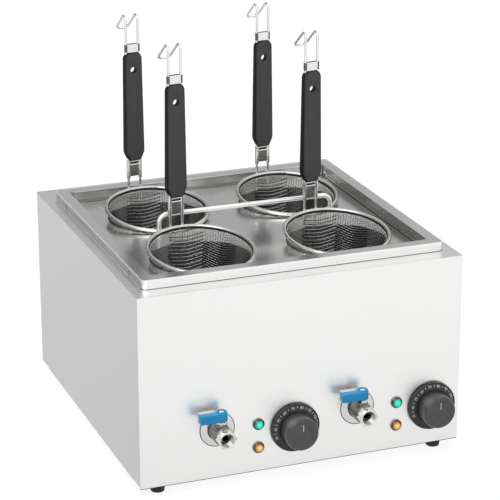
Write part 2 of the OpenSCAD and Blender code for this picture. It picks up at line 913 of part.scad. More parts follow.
// Plate with a lower border, a raised middle and four basket holes
module basket_plate() {
  inset = plate_play;
  color(steel)
  difference() {
    union() {
      slab(z_deck, z_border) wall_outline(inset);
      slab(z_deck, z_plate) wall_outline(inset + plate_border);
    }
    slab(z_deck - cut, z_deck + plate_step) wall_outline(inset + plate_border + plate_t);
    for (i = [0 : 3])
      translate([basket_x(i), basket_y(i), 0]) rod(hole_d, z_deck - cut, z_plate + cut);
  }
}

// Bent bar on the plate, between the two rows of baskets
module lift_bar() {
  half = bar_span / 2;
  run = half - bar_bend;
  axis_z = z_plate + bar_h;
  color(wire_steel)
  translate([0, bar_y, 0]) {
    for (side = [-1, 1]) {
      translate([side * half, 0, 0]) rod(bar_d, z_plate, axis_z - bar_bend);
      translate([side * run, 0, axis_z - bar_bend]) rotate([90, 0, 0])
        rotate([0, 0, side > 0 ? 0 : 90]) wire_bend(bar_d, bar_bend, 90);
    }
    translate([-run, 0, axis_z]) rotate([0, 90, 0]) rod(bar_d, 0, 2 * run);
  }
}

// Frame of a basket at the middle of its rim: upright for the handle, leaning for the cup
module at_basket(i) {
  translate([basket_x(i), basket_y(i), z_rim]) rotate([0, 0, basket_turn]) children();
}

module at_cup(i) {
  at_basket(i) rotate([basket_tilt, 0, 0]) children();
}

// Height below the rim at which the cup's wall starts to bend
cup_knee = cup_depth - cup_bend;
function wall_r(depth) = cup_r - (cup_r - cup_knee_r) * depth / cup_knee;

// Half section of the cup, drawn in by an inset
module cup_section(inset) {
  polygon([
    [0, cup_top + inset],
    [cup_r - inset, cup_top + inset],
    [cup_r - inset, 0],
    for (a = [0 : 15 : 90])
      [cup_knee_r - cup_bend + (cup_bend - inset) * cos(a), -cup_knee - (cup_bend - inset) * sin(a)],
    [0, -cup_depth + inset]
  ]);
}

// Deep-drawn mesh cup: rows of openings in the wall, slots in the floor
module mesh_cup(i) {
  row_pitch = (cup_knee - mesh_bar) / mesh_rows;
  floor_slots = floor(mesh_columns / 2);
  slot_r0 = cup_knee_r / 4;
  slot_r1 = cup_knee_r - cup_bend;
  slot_w = 2 * PI * slot_r0 / floor_slots - mesh_bar;
  color(wire_steel)
  at_cup(i) difference() {
    rotate_extrude() cup_section(0);
    rotate_extrude() cup_section(mesh_t);
    for (row = [0 : mesh_rows - 1]) {
      middle = mesh_bar + (row + 0.5) * row_pitch;
      width = 2 * PI * wall_r(middle) / mesh_columns - mesh_bar;
      for (k = [0 : mesh_columns - 1])
        rotate([0, 0, (k + row % 2 / 2) * 360 / mesh_columns])
          translate([wall_r(middle) - cup_bend / 2, -width / 2, -middle - (row_pitch - mesh_bar) / 2])
            cube([cup_bend, width, row_pitch - mesh_bar]);
    }
    for (k = [0 : floor_slots - 1])
      rotate([0, 0, k * 360 / floor_slots])
        translate([slot_r0, -slot_w / 2, -cup_depth - cut])
          cube([slot_r1 - slot_r0, slot_w, mesh_t + 2 * cut]);
  }
}

module basket_rim(i) {
  color(wire_steel)
  at_cup(i) rotate_extrude() translate([rim_r, 0]) circle(d = rim_wire_d);
}

// Levels of the handle, from the middle of the rim
foot_z = z_plate + seat_gap - z_rim;
grip_z0 = z_plate + grip_h - z_rim;
grip_z1 = grip_z0 + grip_len;
hook_z = z_plate + hook_top_h - z_rim - wire_d / 2 - hook_bend;

// Wires on the handle's two axes
module at_wires() {
  for (x = [-0.5, 0.5])
    translate([x * wire_pitch, leg_y, 0]) children();
}

// Direction in which the hook's returning end comes down, and the point where its round end starts
hook_down = [0, sin(hook_lean), -cos(hook_lean)];
hook_turn = 180 - hook_lean;
hook_back = [0, cos(hook_lean), sin(hook_lean)];
hook_end = [0, leg_y + hook_bend, hook_z] + hook_bend * hook_back + hook_run * hook_down;

// Stations of the wire, each with a point, the wire's direction there and one side direction
function leg_station(side, z) = [[side * wire_pitch / 2, leg_y, z], [0, 0, -side], [-side, 0, 0]];
function bend_station(side, a) = [
  [side * wire_pitch / 2, leg_y + hook_bend * (1 - cos(a)), hook_z + hook_bend * sin(a)],
  -side * [0, sin(a), cos(a)],
  [-side, 0, 0]
];
function end_station(a) =
  let (along = [sin(a), 0, 0] + cos(a) * hook_down)
  [
    hook_end + wire_pitch / 2 * ([-cos(a), 0, 0] + sin(a) * hook_down),
    along,
    cross(cross(hook_down, [1, 0, 0]), along)
  ];

// Ring of points round a station
function wire_ring(station) = [
  for (k = [0 : wire_sides - 1])
    let (a = k * 360 / wire_sides)
    station[0] + wire_d / 2 * (cos(a) * station[2] + sin(a) * cross(station[1], station[2]))
];

// One bent wire: two legs that stand on the plate, and a hook that joins them at the top
module handle_wire(i) {
  steps = 8;
  stations = [
    leg_station(-1, foot_z),
    for (k = [0 : steps]) bend_station(-1, hook_turn * k / steps),
    for (k = [0 : steps]) end_station(180 * k / steps),
    for (k = [steps : -1 : 0]) bend_station(1, hook_turn * k / steps),
    leg_station(1, foot_z)
  ];
  color(wire_steel)
  at_basket(i) loft([for (station = stations) wire_ring(station)]);
}

// Sheet clips that hold the two wires: a slotted web below the grip, a band above it
module handle_clips(i) {
  web_w = wire_pitch - wire_d - 2 * fixed_gap;
  web_t = 1.2;
  sleeve_d = wire_d + 2;
  slot_w = web_w * 0.6;
  slot_h = 2;
  band_t = 0.8;
  band_x = (wire_pitch + wire_d) / 2 + fixed_gap + band_t;
  band_y = wire_d / 2 + fixed_gap + band_t;
  color(nickel)
  at_basket(i) {
    difference() {
      union() {
        translate([-wire_pitch / 2, leg_y - web_t / 2, grip_z0 - clip_len])
          cube([wire_pitch, web_t, clip_len]);
        at_wires() rod(sleeve_d, grip_z0 - clip_len, grip_z0);
      }
      at_wires() rod(wire_d + 2 * fixed_gap, grip_z0 - clip_len - cut, grip_z0 + cut);
      translate([-slot_w / 2, leg_y - web_t, grip_z0 - 2 * slot_h])
        cube([slot_w, 2 * web_t, slot_h]);
    }
    translate([0, leg_y, grip_z1]) linear_extrude(collar_h) difference() {
      round_rect(-band_x, -band_y, band_x, band_y, band_y - band_t / 2);
      round_rect(-band_x + band_t, -band_y + band_t, band_x - band_t, band_y - band_t,
                 band_y - band_t - fixed_gap / 2);
    }
  }
}

// Points of one flattened oval ring of the grip
grip_sides = 32;
function oval(w, t, z) = [
  for (k = [0 : grip_sides - 1])
    let (c = cos(k * 360 / grip_sides), s = sin(k * 360 / grip_sides))
    [w / 2 * sign(c) * pow(abs(c), 0.7), t / 2 * sign(s) * pow(abs(s), 0.7), z]
];

// Moulded grip: round shoulders, a slight taper and a hanging hole
module grip(i) {
  shoulder = 14;
  taper = 2.5;
  steps = 4;
  end_share = 0.74;
  function swell(u) = end_share + (1 - end_share) * sqrt(1 - (1 - u) * (1 - u));
  top_w = grip_w - taper;
  color(black)
  at_basket(i) difference() {
    translate([0, leg_y, 0]) loft([
      for (k = [0 : steps])
        oval(grip_w * swell(k / steps), grip_t * swell(k / steps), grip_z0 + shoulder * k / steps / 2),
      for (k = [steps : -1 : 0])
        oval(top_w * swell(k / steps), grip_t * swell(k / steps), grip_z1 - shoulder * k / steps)
    ]);
    at_wires() rod(wire_d + 2 * fixed_gap, grip_z0 - cut, grip_z1 + cut);
    translate([0, leg_y + grip_t, grip_z1 - hang_drop]) rotate([90, 0, 0]) rod(hang_d, 0, 2 * grip_t);
  }
}

front_panel();
side_panel(-1);  // left_side_panel
side_panel(1);  // right_side_panel
rear_panel();
base_plate();
feet();
foot_screws();
tank_frame();
well_deck();
frame_rivets();
tank(-1);  // tank_left
tank(1);  // tank_right
drain_nipples();
tap_discs();
valve_body(0);  // valve_body_left
valve_body(1);  // valve_body_right
gland_nuts();
valve_ball(0);  // valve_ball_left
valve_ball(1);  // valve_ball_right
valve_stem(0);  // valve_stem_left
valve_stem(1);  // valve_stem_right
tap_lever(0);  // tap_lever_left
tap_lever(1);  // tap_lever_right
thermostat(0);  // thermostat_left
thermostat(1);  // thermostat_right
thermostat_shaft(0);  // thermostat_shaft_left
thermostat_shaft(1);  // thermostat_shaft_right
knob(0);  // knob_left
knob(1);  // knob_right
sensing_bulbs();
heater(-1);  // heater_left
heater(1);  // heater_right
lamp_holders();
green_lenses();
amber_lenses();
terminal_block();
cable_gland();
basket_plate();
lift_bar();
mesh_cup(0);  // mesh_cup_front_left
mesh_cup(1);  // mesh_cup_front_right
mesh_cup(2);  // mesh_cup_rear_left
mesh_cup(3);  // mesh_cup_rear_right
basket_rim(0);  // basket_rim_front_left
basket_rim(1);  // basket_rim_front_right
basket_rim(2);  // basket_rim_rear_left
basket_rim(3);  // basket_rim_rear_right
handle_wire(0);  // handle_wire_front_left
handle_wire(1);  // handle_wire_front_right
handle_wire(2);  // handle_wire_rear_left
handle_wire(3);  // handle_wire_rear_right
handle_clips(0);  // handle_clips_front_left
handle_clips(1);  // handle_clips_front_right
handle_clips(2);  // handle_clips_rear_left
handle_clips(3);  // handle_clips_rear_right
grip(0);  // grip_front_left
grip(1);  // grip_front_right
grip(2);  // grip_rear_left
grip(3);  // grip_rear_right
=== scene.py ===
"""Looks of a countertop pasta cooker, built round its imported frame.

The frame is in metres with +Z up, and the controls face -Y. New pieces are modelled in millimetres, in a
frame of their own, and carried to their place when they are finished.
"""

from __future__ import annotations

import logging
import math
from dataclasses import dataclass
from enum import Enum
from typing import Any, Sequence

import bmesh
import bpy
from bmesh.types import BMEdge, BMesh, BMVert
from bpy.types import Curve, Material, Node, NodeSocket, NodeTree, Object, Scene, World
from mathutils import Matrix, Vector

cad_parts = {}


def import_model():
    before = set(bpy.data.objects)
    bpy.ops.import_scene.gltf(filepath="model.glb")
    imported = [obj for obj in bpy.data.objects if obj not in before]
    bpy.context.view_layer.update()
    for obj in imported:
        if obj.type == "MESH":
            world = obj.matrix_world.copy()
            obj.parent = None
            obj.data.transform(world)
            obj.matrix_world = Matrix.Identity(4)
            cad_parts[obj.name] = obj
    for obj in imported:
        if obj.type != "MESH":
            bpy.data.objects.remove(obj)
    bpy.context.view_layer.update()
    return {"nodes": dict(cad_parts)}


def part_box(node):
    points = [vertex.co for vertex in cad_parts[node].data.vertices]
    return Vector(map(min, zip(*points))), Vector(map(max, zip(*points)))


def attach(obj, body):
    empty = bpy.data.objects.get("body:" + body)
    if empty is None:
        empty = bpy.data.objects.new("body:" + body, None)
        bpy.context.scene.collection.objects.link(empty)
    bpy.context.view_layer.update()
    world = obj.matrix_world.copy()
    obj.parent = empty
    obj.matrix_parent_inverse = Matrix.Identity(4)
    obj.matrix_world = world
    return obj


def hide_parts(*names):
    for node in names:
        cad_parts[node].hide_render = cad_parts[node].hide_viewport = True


LOG = logging.getLogger("pasta_cooker")
MM = 0.001
MERGE_MM = 1e-4
ROOT_BODY = "cooker"
PLASTIC_IOR = 1.49
# Places of a Mix node's colour sockets: its two inputs and its output.
COLOUR_A, COLOUR_B, COLOUR_OUT = 6, 7, 2
Point = tuple[float, float, float]
Pair = tuple[float, float]
Path = tuple[Sequence[Point], bool]


class Side(Enum):
    """The two wells and their controls."""

    LEFT = "left"
    RIGHT = "right"


class Place(Enum):
    """The four baskets."""

    FRONT_LEFT = "front_left"
    FRONT_RIGHT = "front_right"
    REAR_LEFT = "rear_left"
    REAR_RIGHT = "rear_right"


class Grain(Enum):
    """Direction in which a sheet was brushed, as the stretch of its pattern along X, Y and Z."""

    ALONG_X = (0.02, 1.0, 1.0)
    NONE = (1.0, 1.0, 1.0)


def linear(colour: str) -> tuple[float, float, float, float]:
    """Turn an sRGB hex colour into linear RGBA.

    Args:
        colour: six hex digits with a leading hash.

    Returns:
        Red, green, blue and an alpha of one.
    """
    channels = [int(colour[i : i + 2], 16) / 255 for i in (1, 3, 5)]
    curved = [c / 12.92 if c <= 0.04045 else ((c + 0.055) / 1.055) ** 2.4 for c in channels]
    return (curved[0], curved[1], curved[2], 1.0)


def add_node(
    tree: NodeTree,
    kind: str,
    values: dict[str | int, Any] | None = None,
    links: dict[str | int, Node | NodeSocket] | None = None,
    **settings: Any,
) -> Node:
    """Add one shader node with its settings, its fixed inputs and its links.

    Args:
        tree: node tree that gets the node.
        kind: Blender's name of the node type, without its "ShaderNode".
        values: fixed value of each input.
        links: what feeds each input, as an output socket, or as a node for its first output.
        settings: properties of the node itself.

    Returns:
        The new node.
    """
    node = tree.nodes.new(f"ShaderNode{kind}")
    for name, value in settings.items():
        setattr(node, name, value)
    for socket, value in (values or {}).items():
        node.inputs[socket].default_value = value
    for socket, source in (links or {}).items():
        output = source.outputs[0] if isinstance(source, Node) else source
        tree.links.new(output, node.inputs[socket])
    return node


def empty_tree(holder: Material | World) -> NodeTree:
    """Give a material or a world a node tree with nothing in it."""
    holder.use_nodes = True
    holder.node_tree.nodes.clear()
    return holder.node_tree


def close_tree(tree: NodeTree, values: dict[str, Any], links: dict[str, Node | NodeSocket]) -> None:
    """Close a material's tree with its principled shader.

    Args:
        tree: node tree of the material.
        values: what is the same all over the surface.
        links: what changes over the surface.
    """
    shader = add_node(tree, "BsdfPrincipled", values, links)
    add_node(tree, "OutputMaterial", links={"Surface": shader})


def varied(level: float, share: float) -> dict[str, float]:
    """Give the output range of a map that varies a level by a share both ways."""
    return {"To Min": level * (1 - share), "To Max": level * (1 + share)}


def set_stops(ramp: Node, stops: Sequence[tuple[float, Sequence[float]]]) -> None:
    """Set the stops of a colour ramp.

    Args:
        ramp: the ramp's node.
        stops: place and linear colour of each stop, in order.
    """
    elements = ramp.color_ramp.elements
    while len(elements) < len(stops):
        elements.new(0.5)
    for element, (place, colour) in zip(elements, stops):
        element.position = place
        element.color = colour


@dataclass(frozen=True)
class BrushedSteel:
    """Stainless sheet, belt-brushed: fine parallel scratches that smear reflections across the grain.

    The real scratches are about 0.05 mm wide. They are drawn ten times as wide, so that they show in the
    render. A finish with an inner shade colour paints shade in that darker colour on the walls inside the
    raised frame.
    """

    name: str
    colour: str
    roughness: float
    grain: Grain
    scratch_mm: float = 0.6
    contrast: float = 0.06
    relief: float = 0.03
    relief_mm: float = 0.1
    cloud_mm: float = 90.0
    uneven: float = 0.15
    inner_shade: str = ""
    band_mm: float = 15.7

    def inside(self, tree: NodeTree, here: NodeSocket) -> Node:
        """Mask the walls inside the raised frame's opening, where shade is painted.

        Args:
            tree: node tree of the finish.
            here: its Object coordinates.

        Returns:
            A node that gives 1 inside the opening and 0 on the band round it.
        """
        low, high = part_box("tank_frame")
        half = (high - low) / 2 - Vector((self.band_mm, self.band_mm, 0)) * MM
        centred = add_node(tree, "VectorMath", {1: (low + high) / 2}, {0: here}, operation="SUBTRACT")
        shares = add_node(tree, "VectorMath", {1: (half.x, half.y, 1.0)}, {0: centred}, operation="DIVIDE")
        sizes = add_node(tree, "VectorMath", links={0: shares}, operation="ABSOLUTE")
        split = add_node(tree, "SeparateXYZ", links={0: sizes})
        both = {0: split.outputs["X"], 1: split.outputs["Y"]}
        larger = add_node(tree, "Math", links=both, operation="MAXIMUM")
        return add_node(tree, "Math", {1: 1.0}, {0: larger}, operation="LESS_THAN")

    def material(self) -> Material:
        """Build the finish.

        Returns:
            The material.
        """
        material = bpy.data.materials.new(self.name)
        tree = empty_tree(material)
        here = add_node(tree, "TexCoord").outputs["Object"]
        stretch = add_node(tree, "Mapping", {"Scale": self.grain.value}, {"Vector": here})
        fine = {"Scale": 1 / (self.scratch_mm * MM), "Detail": 3.0, "Roughness": 0.6}
        scratches = add_node(tree, "TexNoise", fine, {"Vector": stretch})
        broad = {"Scale": 1 / (self.cloud_mm * MM), "Detail": 2.0}
        clouds = add_node(tree, "TexNoise", broad, {"Vector": here})
        light = linear(self.colour)
        dark = (*(c * (1 - self.contrast) for c in light[:3]), 1.0)
        tone = add_node(tree, "Mix", {COLOUR_A: dark, COLOUR_B: light}, {0: scratches}, data_type="RGBA")
        # Painted shade: inside the opening the tone turns to the darker inner shade colour.
        if self.inner_shade:
            sources = {0: self.inside(tree, here), COLOUR_A: tone.outputs[COLOUR_OUT]}
            tone = add_node(tree, "Mix", {COLOUR_B: linear(self.inner_shade)}, sources, data_type="RGBA")
        rough = add_node(tree, "MapRange", varied(self.roughness, self.uneven), {"Value": clouds})
        height = {"Strength": self.relief, "Distance": self.relief_mm * MM}
        bump = add_node(tree, "Bump", height, {"Height": scratches})
        changing = {"Base Color": tone.outputs[COLOUR_OUT], "Roughness": rough, "Normal": bump}
        close_tree(tree, {"Metallic": 1.0}, changing)
        return material


@dataclass(frozen=True)
class PolishedMetal:
    """Bright drawn wire or plated brass: sharp reflections with a faint haze of handling marks.

    A finish with a dull colour turns to it where the haze is thick.
    """

    name: str
    colour: str
    roughness: float
    haze_mm: float = 6.0
    dull: str = ""
    thin: float = 0.3
    thick: float = 0.7
    uneven: float = 0.4

    def material(self) -> Material:
        """Build the finish.

        Returns:
            The material.
        """
        material = bpy.data.materials.new(self.name)
        tree = empty_tree(material)
        here = add_node(tree, "TexCoord").outputs["Object"]
        marks = {"Scale": 1 / (self.haze_mm * MM), "Detail": 4.0}
        haze = add_node(tree, "TexNoise", marks, {"Vector": here})
        limits = {"From Min": self.thin, "From Max": self.thick, **varied(self.roughness, self.uneven)}
        rough = add_node(tree, "MapRange", limits, {"Value": haze})
        values: dict[str, Any] = {"Metallic": 1.0}
        links: dict[str, Node | NodeSocket] = {"Roughness": rough}
        if self.dull:
            ends = {COLOUR_A: linear(self.colour), COLOUR_B: linear(self.dull)}
            tone = add_node(tree, "Mix", ends, {0: haze}, data_type="RGBA")
            links["Base Color"] = tone.outputs[COLOUR_OUT]
        else:
            values["Base Color"] = linear(self.colour)
        close_tree(tree, values, links)
        return material


@dataclass(frozen=True)
class MouldedPlastic:
    """Moulded thermoplastic or rubber: an even colour with the fine grain of the mould.

    A finish with an edge colour is darker at its rounded edges and sides, as painted shade. The attribute
    "face" of the mesh runs from 0 there to 1 on the flat faces.
    """

    name: str
    colour: str
    roughness: float
    grain_mm: float = 0.5
    relief: float = 0.08
    relief_mm: float = 0.2
    patch_mm: float = 14.0
    fade: float = 0.0144
    uneven: float = 0.15
    edge: str = ""
    coat: float = 0.0
    shine: float = 0.5

    def material(self) -> Material:
        """Build the finish.

        Returns:
            The material.
        """
        material = bpy.data.materials.new(self.name)
        tree = empty_tree(material)
        here = add_node(tree, "TexCoord").outputs["Object"]
        fine = {"Scale": 1 / (self.grain_mm * MM), "Detail": 2.0}
        grain = add_node(tree, "TexNoise", fine, {"Vector": here})
        broad = {"Scale": 1 / (self.patch_mm * MM), "Detail": 3.0}
        patches = add_node(tree, "TexNoise", broad, {"Vector": here})
        base = linear(self.colour)
        worn = (*(c + (1 - c) * self.fade for c in base[:3]), 1.0)
        tone = add_node(tree, "Mix", {COLOUR_A: base, COLOUR_B: worn}, {0: patches}, data_type="RGBA")
        # Painted shade: the tone turns to the edge colour towards the rounded edges.
        if self.edge:
            face = add_node(tree, "Attribute", attribute_name="face").outputs["Fac"]
            sources = {0: face, COLOUR_B: tone.outputs[COLOUR_OUT]}
            tone = add_node(tree, "Mix", {COLOUR_A: linear(self.edge)}, sources, data_type="RGBA")
        rough = add_node(tree, "MapRange", varied(self.roughness, self.uneven), {"Value": patches})
        height = {"Strength": self.relief, "Distance": self.relief_mm * MM}
        bump = add_node(tree, "Bump", height, {"Height": grain})
        even = {
            "IOR": PLASTIC_IOR,
            "Specular IOR Level": self.shine,
            "Coat Weight": self.coat,
            "Coat Roughness": self.roughness,
        }
        close_tree(tree, even, {"Base Color": tone.outputs[COLOUR_OUT], "Roughness": rough, "Normal": bump})
        return material


@dataclass(frozen=True)
class LampLens:
    """Tinted clear acrylic over a lit lamp: bright in the middle, and darker towards the rim as painted
    shade.

    The attribute "depth" of the lens mesh runs from 0 in the middle to 1 at the rim.
    """

    name: str
    middle: str
    body: str
    rim: str
    glow: float
    steps: tuple[float, float, float] = (0.3, 0.56, 0.82)
    roughness: float = 0.08
    coat: float = 0.4

    def material(self) -> Material:
        """Build the finish.

        Returns:
            The material.
        """
        material = bpy.data.materials.new(self.name)
        tree = empty_tree(material)
        depth = add_node(tree, "Attribute", attribute_name="depth").outputs["Fac"]
        # Painted shade: the tint deepens towards the rim.
        tint = add_node(tree, "ValToRGB", links={"Fac": depth})
        colours = [linear(colour) for colour in (self.middle, self.body, self.rim)]
        set_stops(tint, list(zip(self.steps, colours)))
        even = {
            "IOR": PLASTIC_IOR,
            "Roughness": self.roughness,
            "Coat Weight": self.coat,
            "Emission Strength": self.glow,
        }
        close_tree(tree, even, {"Base Color": tint, "Emission Color": tint})
        return material


@dataclass(frozen=True)
class Paint:
    """Flat printed ink, slightly broken up where it lies on moulded grain."""

    name: str
    colour: str
    worn: str
    break_mm: float = 0.9
    roughness: float = 0.6

    def material(self) -> Material:
        """Build the finish.

        Returns:
            The material.
        """
        material = bpy.data.materials.new(self.name)
        tree = empty_tree(material)
        here = add_node(tree, "TexCoord").outputs["Object"]
        fine = {"Scale": 1 / (self.break_mm * MM), "Detail": 2.0}
        breaks = add_node(tree, "TexNoise", fine, {"Vector": here})
        ends = {COLOUR_A: linear(self.colour), COLOUR_B: linear(self.worn)}
        tone = add_node(tree, "Mix", ends, {0: breaks}, data_type="RGBA")
        close_tree(tree, {"Roughness": self.roughness}, {"Base Color": tone.outputs[COLOUR_OUT]})
        return material


class Finish(Enum):
    """Every finish of the cooker."""

    # Sheet: broad, soft reflections, smeared across the brushing where there is any.
    CASING = BrushedSteel("brushed stainless casing", "#F8F8F7", 0.36, Grain.ALONG_X)
    # Painted shade: the frame's walls inside its opening are darker.
    FRAME = BrushedSteel("brushed stainless frame", "#F8F8F7", 0.24, Grain.ALONG_X, inner_shade="#BEBEBC")
    PLATE = BrushedSteel("satin stainless plate", "#F6F6F5", 0.2, Grain.ALONG_X)
    TANK = BrushedSteel("drawn stainless tank", "#9C9C9A", 0.36, Grain.NONE, scratch_mm=2.0)
    # Wire and mesh: bright lines along each wire, duller where doubled; the dark wires are painted shade, the
    # frame's white bead painted highlight.
    WIRE = PolishedMetal("polished stainless wire", "#D8D8D6", 0.12, dull="#BEBEBC")
    RIM = PolishedMetal("polished rim wire", "#E0E0DE", 0.22, dull="#C8C8C6")
    BAR = PolishedMetal("ground stainless bar", "#FCFCFA", 0.38, haze_mm=30.0)
    # Painted highlight: a white, rough bead that looks bright from every side, along the frame's folded
    # edges.
    EDGE = PolishedMetal("painted edge highlight", "#FFFFFE", 0.85)
    LEG = PolishedMetal("bright drawn handle wire", "#F4F4F2", 0.16, dull="#E4E4E2")
    MESH = PolishedMetal("woven stainless mesh", "#CECECC", 0.2, haze_mm=12.0, dull="#B0B0AD")
    LAP = PolishedMetal("doubled mesh wire", "#CCCCCA", 0.3, haze_mm=5.0, dull="#ACACAA")
    # Painted shade: dark wires in the troughs of the ripples.
    TROUGH_SHADE = PolishedMetal("painted shade in the mesh's ripples", "#565655", 0.5, haze_mm=5.0, dull="#424241")
    # Painted shade: dark wires under the rim and in the clip's slot.
    SEAM = PolishedMetal("painted shade under the rim and in the clip's slot", "#2E2E2D", 0.5)
    # Plated brass and pressed sheet: warm white glints, greyer where it was blasted or cut. The clip's web
    # and the collar's ends are darker as painted shade, and the barrel partly so.
    NICKEL = PolishedMetal("nickel-plated brass", "#EDECE8", 0.16, dull="#D2D1CB")
    DISC = PolishedMetal("pressed nickel-plated disc", "#E2E2E0", 0.25, dull="#D2D2D0")
    BORE = PolishedMetal("cut thread", "#B8B6B0", 0.28, haze_mm=2.0, dull="#96948E")
    ARM = PolishedMetal("zinc-plated steel arm", "#F0EFEB", 0.5, haze_mm=3.0, dull="#DCDBD6")
    # Painted shade: the clip's web is darker for the shade it sits in.
    SHADED_WEB = PolishedMetal("stainless web darkened as painted shade", "#989897", 0.3, haze_mm=3.0, dull="#787877")
    CLIP = PolishedMetal("folded stainless clip", "#F0F0EE", 0.12, haze_mm=3.0, dull="#DADAD8")
    # Painted shade: the collar's ends are darker than the bright band.
    SHADED_COLLAR = PolishedMetal("collar ends darkened as painted shade", "#7A7A79", 0.3, haze_mm=2.0, dull="#4E4E4D")
    # Partly painted shade: the blasted barrel and stem boss are darker than blasted nickel, for the shade
    # they stand in.
    BARREL = PolishedMetal("blasted nickel-plated barrel with painted shade", "#9C9B97", 0.42, haze_mm=1.5, dull="#6F6E6A")
    HEATER = PolishedMetal("heating tube", "#6A625A", 0.4, dull="#3F3A36")
    # Moulded and dipped plastic, and rubber: an even tone with a soft sheen. The grip's edge colour and the
    # dark beads are painted shade.
    # Painted shade: the grip's edge colour darkens its rounded edges and sides.
    GRIP = MouldedPlastic("moulded phenolic grip", "#474748", 0.5, edge="#121213", shine=0.2)
    SKIRT = MouldedPlastic("moulded ABS skirt", "#191919", 0.42)
    KNOB = MouldedPlastic("moulded ABS knob", "#2A2A2A", 0.34, coat=0.7)
    LEVER = MouldedPlastic("dipped vinyl lever", "#0090CA", 0.33, grain_mm=1.2, relief=0.15)
    # Painted shade: dark beads and rings laid where gaps and folds are in shade.
    SHADE_BEAD = MouldedPlastic("painted shade bead", "#333332", 0.5)
    CLEAR_SHADE_BEAD = MouldedPlastic("pale silicone bead", "#B8B8B6", 0.4)
    RUBBER = MouldedPlastic("moulded rubber foot", "#161616", 0.6)
    GLAND = MouldedPlastic("moulded nylon gland", "#1C1C1C", 0.5)
    WHITE = MouldedPlastic("white moulded plastic", "#DAD9D3", 0.45)
    # Lenses that glow, and flat print.
    GREEN = LampLens("green acrylic lens", "#2CF6E6", "#12C0A0", "#04382B", 0.36)
    AMBER = LampLens("amber acrylic lens", "#FDE08A", "#DE9020", "#5A2B05", 0.25)
    INK = Paint("white dial print", "#EDEDEA", "#C9C9C6")


_MADE: dict[Finish, Material] = {}


def material_of(finish: Finish) -> Material:
    """Give the material of a finish, built on its first use."""
    if finish not in _MADE:
        _MADE[finish] = finish.value.material()
    return _MADE[finish]


def make_piece(
    name: str,
    bm: BMesh,
    place: Matrix,
    finish: Finish,
    body: str,
    replaced: Sequence[str] = (),
) -> None:
    """Carry a model from its own millimetre frame to its place and make it a piece of the object.

    Args:
        name: name of the piece.
        bm: the model, in millimetres, which is freed.
        place: frame of the model in the object, in metres.
        finish: finish of the whole piece.
        body: body that the piece rides on.
        replaced: solids that the piece stands for.
    """
    bmesh.ops.transform(bm, matrix=place @ Matrix.Scale(MM, 4), verts=bm.verts)
    mesh = bpy.data.meshes.new(name)
    bm.to_mesh(mesh)
    bm.free()
    mesh.materials.append(material_of(finish))
    piece = bpy.data.objects.new(name, mesh)
    bpy.context.scene.collection.objects.link(piece)
    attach(piece, body)
    if replaced:
        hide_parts(*replaced)
    LOG.info("%s: %d faces on %s", name, len(mesh.polygons), body)


def smooth_below(bm: BMesh, degrees: float) -> None:
    """Shade a model smooth and mark its edges above an angle as sharp.

    Args:
        bm: model to shade.
        degrees: angle between two faces above which their edge stays sharp.
    """
    limit = math.radians(degrees)
    for face in bm.faces:
        face.smooth = True
    for edge in bm.edges:
        edge.smooth = len(edge.link_faces) == 2 and edge.calc_face_angle(0.0) < limit


def close_seams(bm: BMesh) -> None:
    """Merge the doubled points of a model and turn its faces outwards."""
    bmesh.ops.remove_doubles(bm, verts=bm.verts, dist=MERGE_MM)
    bmesh.ops.recalc_face_normals(bm, faces=bm.faces)


def spun(profile: Sequence[Pair], steps: int, sharp: float = 35.0) -> BMesh:
    """Turn a profile about Z into a closed shape.

    Args:
        profile: points as radius and height; a closed ring repeats its first point at the end.
        steps: number of steps round the axis.
        sharp: angle above which an edge stays sharp.

    Returns:
        The turned model.
    """
    bm = bmesh.new()
    verts = [bm.verts.new((radius, 0.0, height)) for radius, height in profile]
    edges = [bm.edges.new(pair) for pair in zip(verts, verts[1:])]
    whole = {"cent": (0, 0, 0), "axis": (0, 0, 1), "angle": 2 * math.pi, "steps": steps}
    bmesh.ops.spin(bm, geom=verts + edges, use_merge=True, **whole)
    close_seams(bm)
    smooth_below(bm, sharp)
    return bm


def arc(centre: Pair, radius: float, start: float, end: float, steps: int) -> list[Pair]:
    """Lay out the points of an arc.

    Args:
        centre: middle of the arc.
        radius: radius of the arc.
        start: first angle in degrees.
        end: last angle in degrees.
        steps: number of chords.

    Returns:
        The points from the first to the last angle.
    """
    angles = [math.radians(start + (end - start) * k / steps) for k in range(steps + 1)]
    return [(centre[0] + radius * math.cos(a), centre[1] + radius * math.sin(a)) for a in angles]


def spaced(start: float, end: float, pitch: float) -> list[float]:
    """Give the places from a start to before an end, a pitch apart."""
    return [start + k * pitch for k in range(math.ceil((end - start) / pitch))]


def add_curve(bm: BMesh, curve: Curve, place: Matrix) -> None:
    """Add the mesh of a curve or a text to a model, and delete the curve.

    Args:
        bm: model that gets the mesh.
        curve: the curve or text.
        place: its frame in the model.
    """
    holder = bpy.data.objects.new("curve", curve)
    mesh = bpy.data.meshes.new_from_object(holder)
    mesh.transform(place)
    bm.from_mesh(mesh)
    bpy.data.objects.remove(holder)
    bpy.data.curves.remove(curve)
    bpy.data.meshes.remove(mesh)


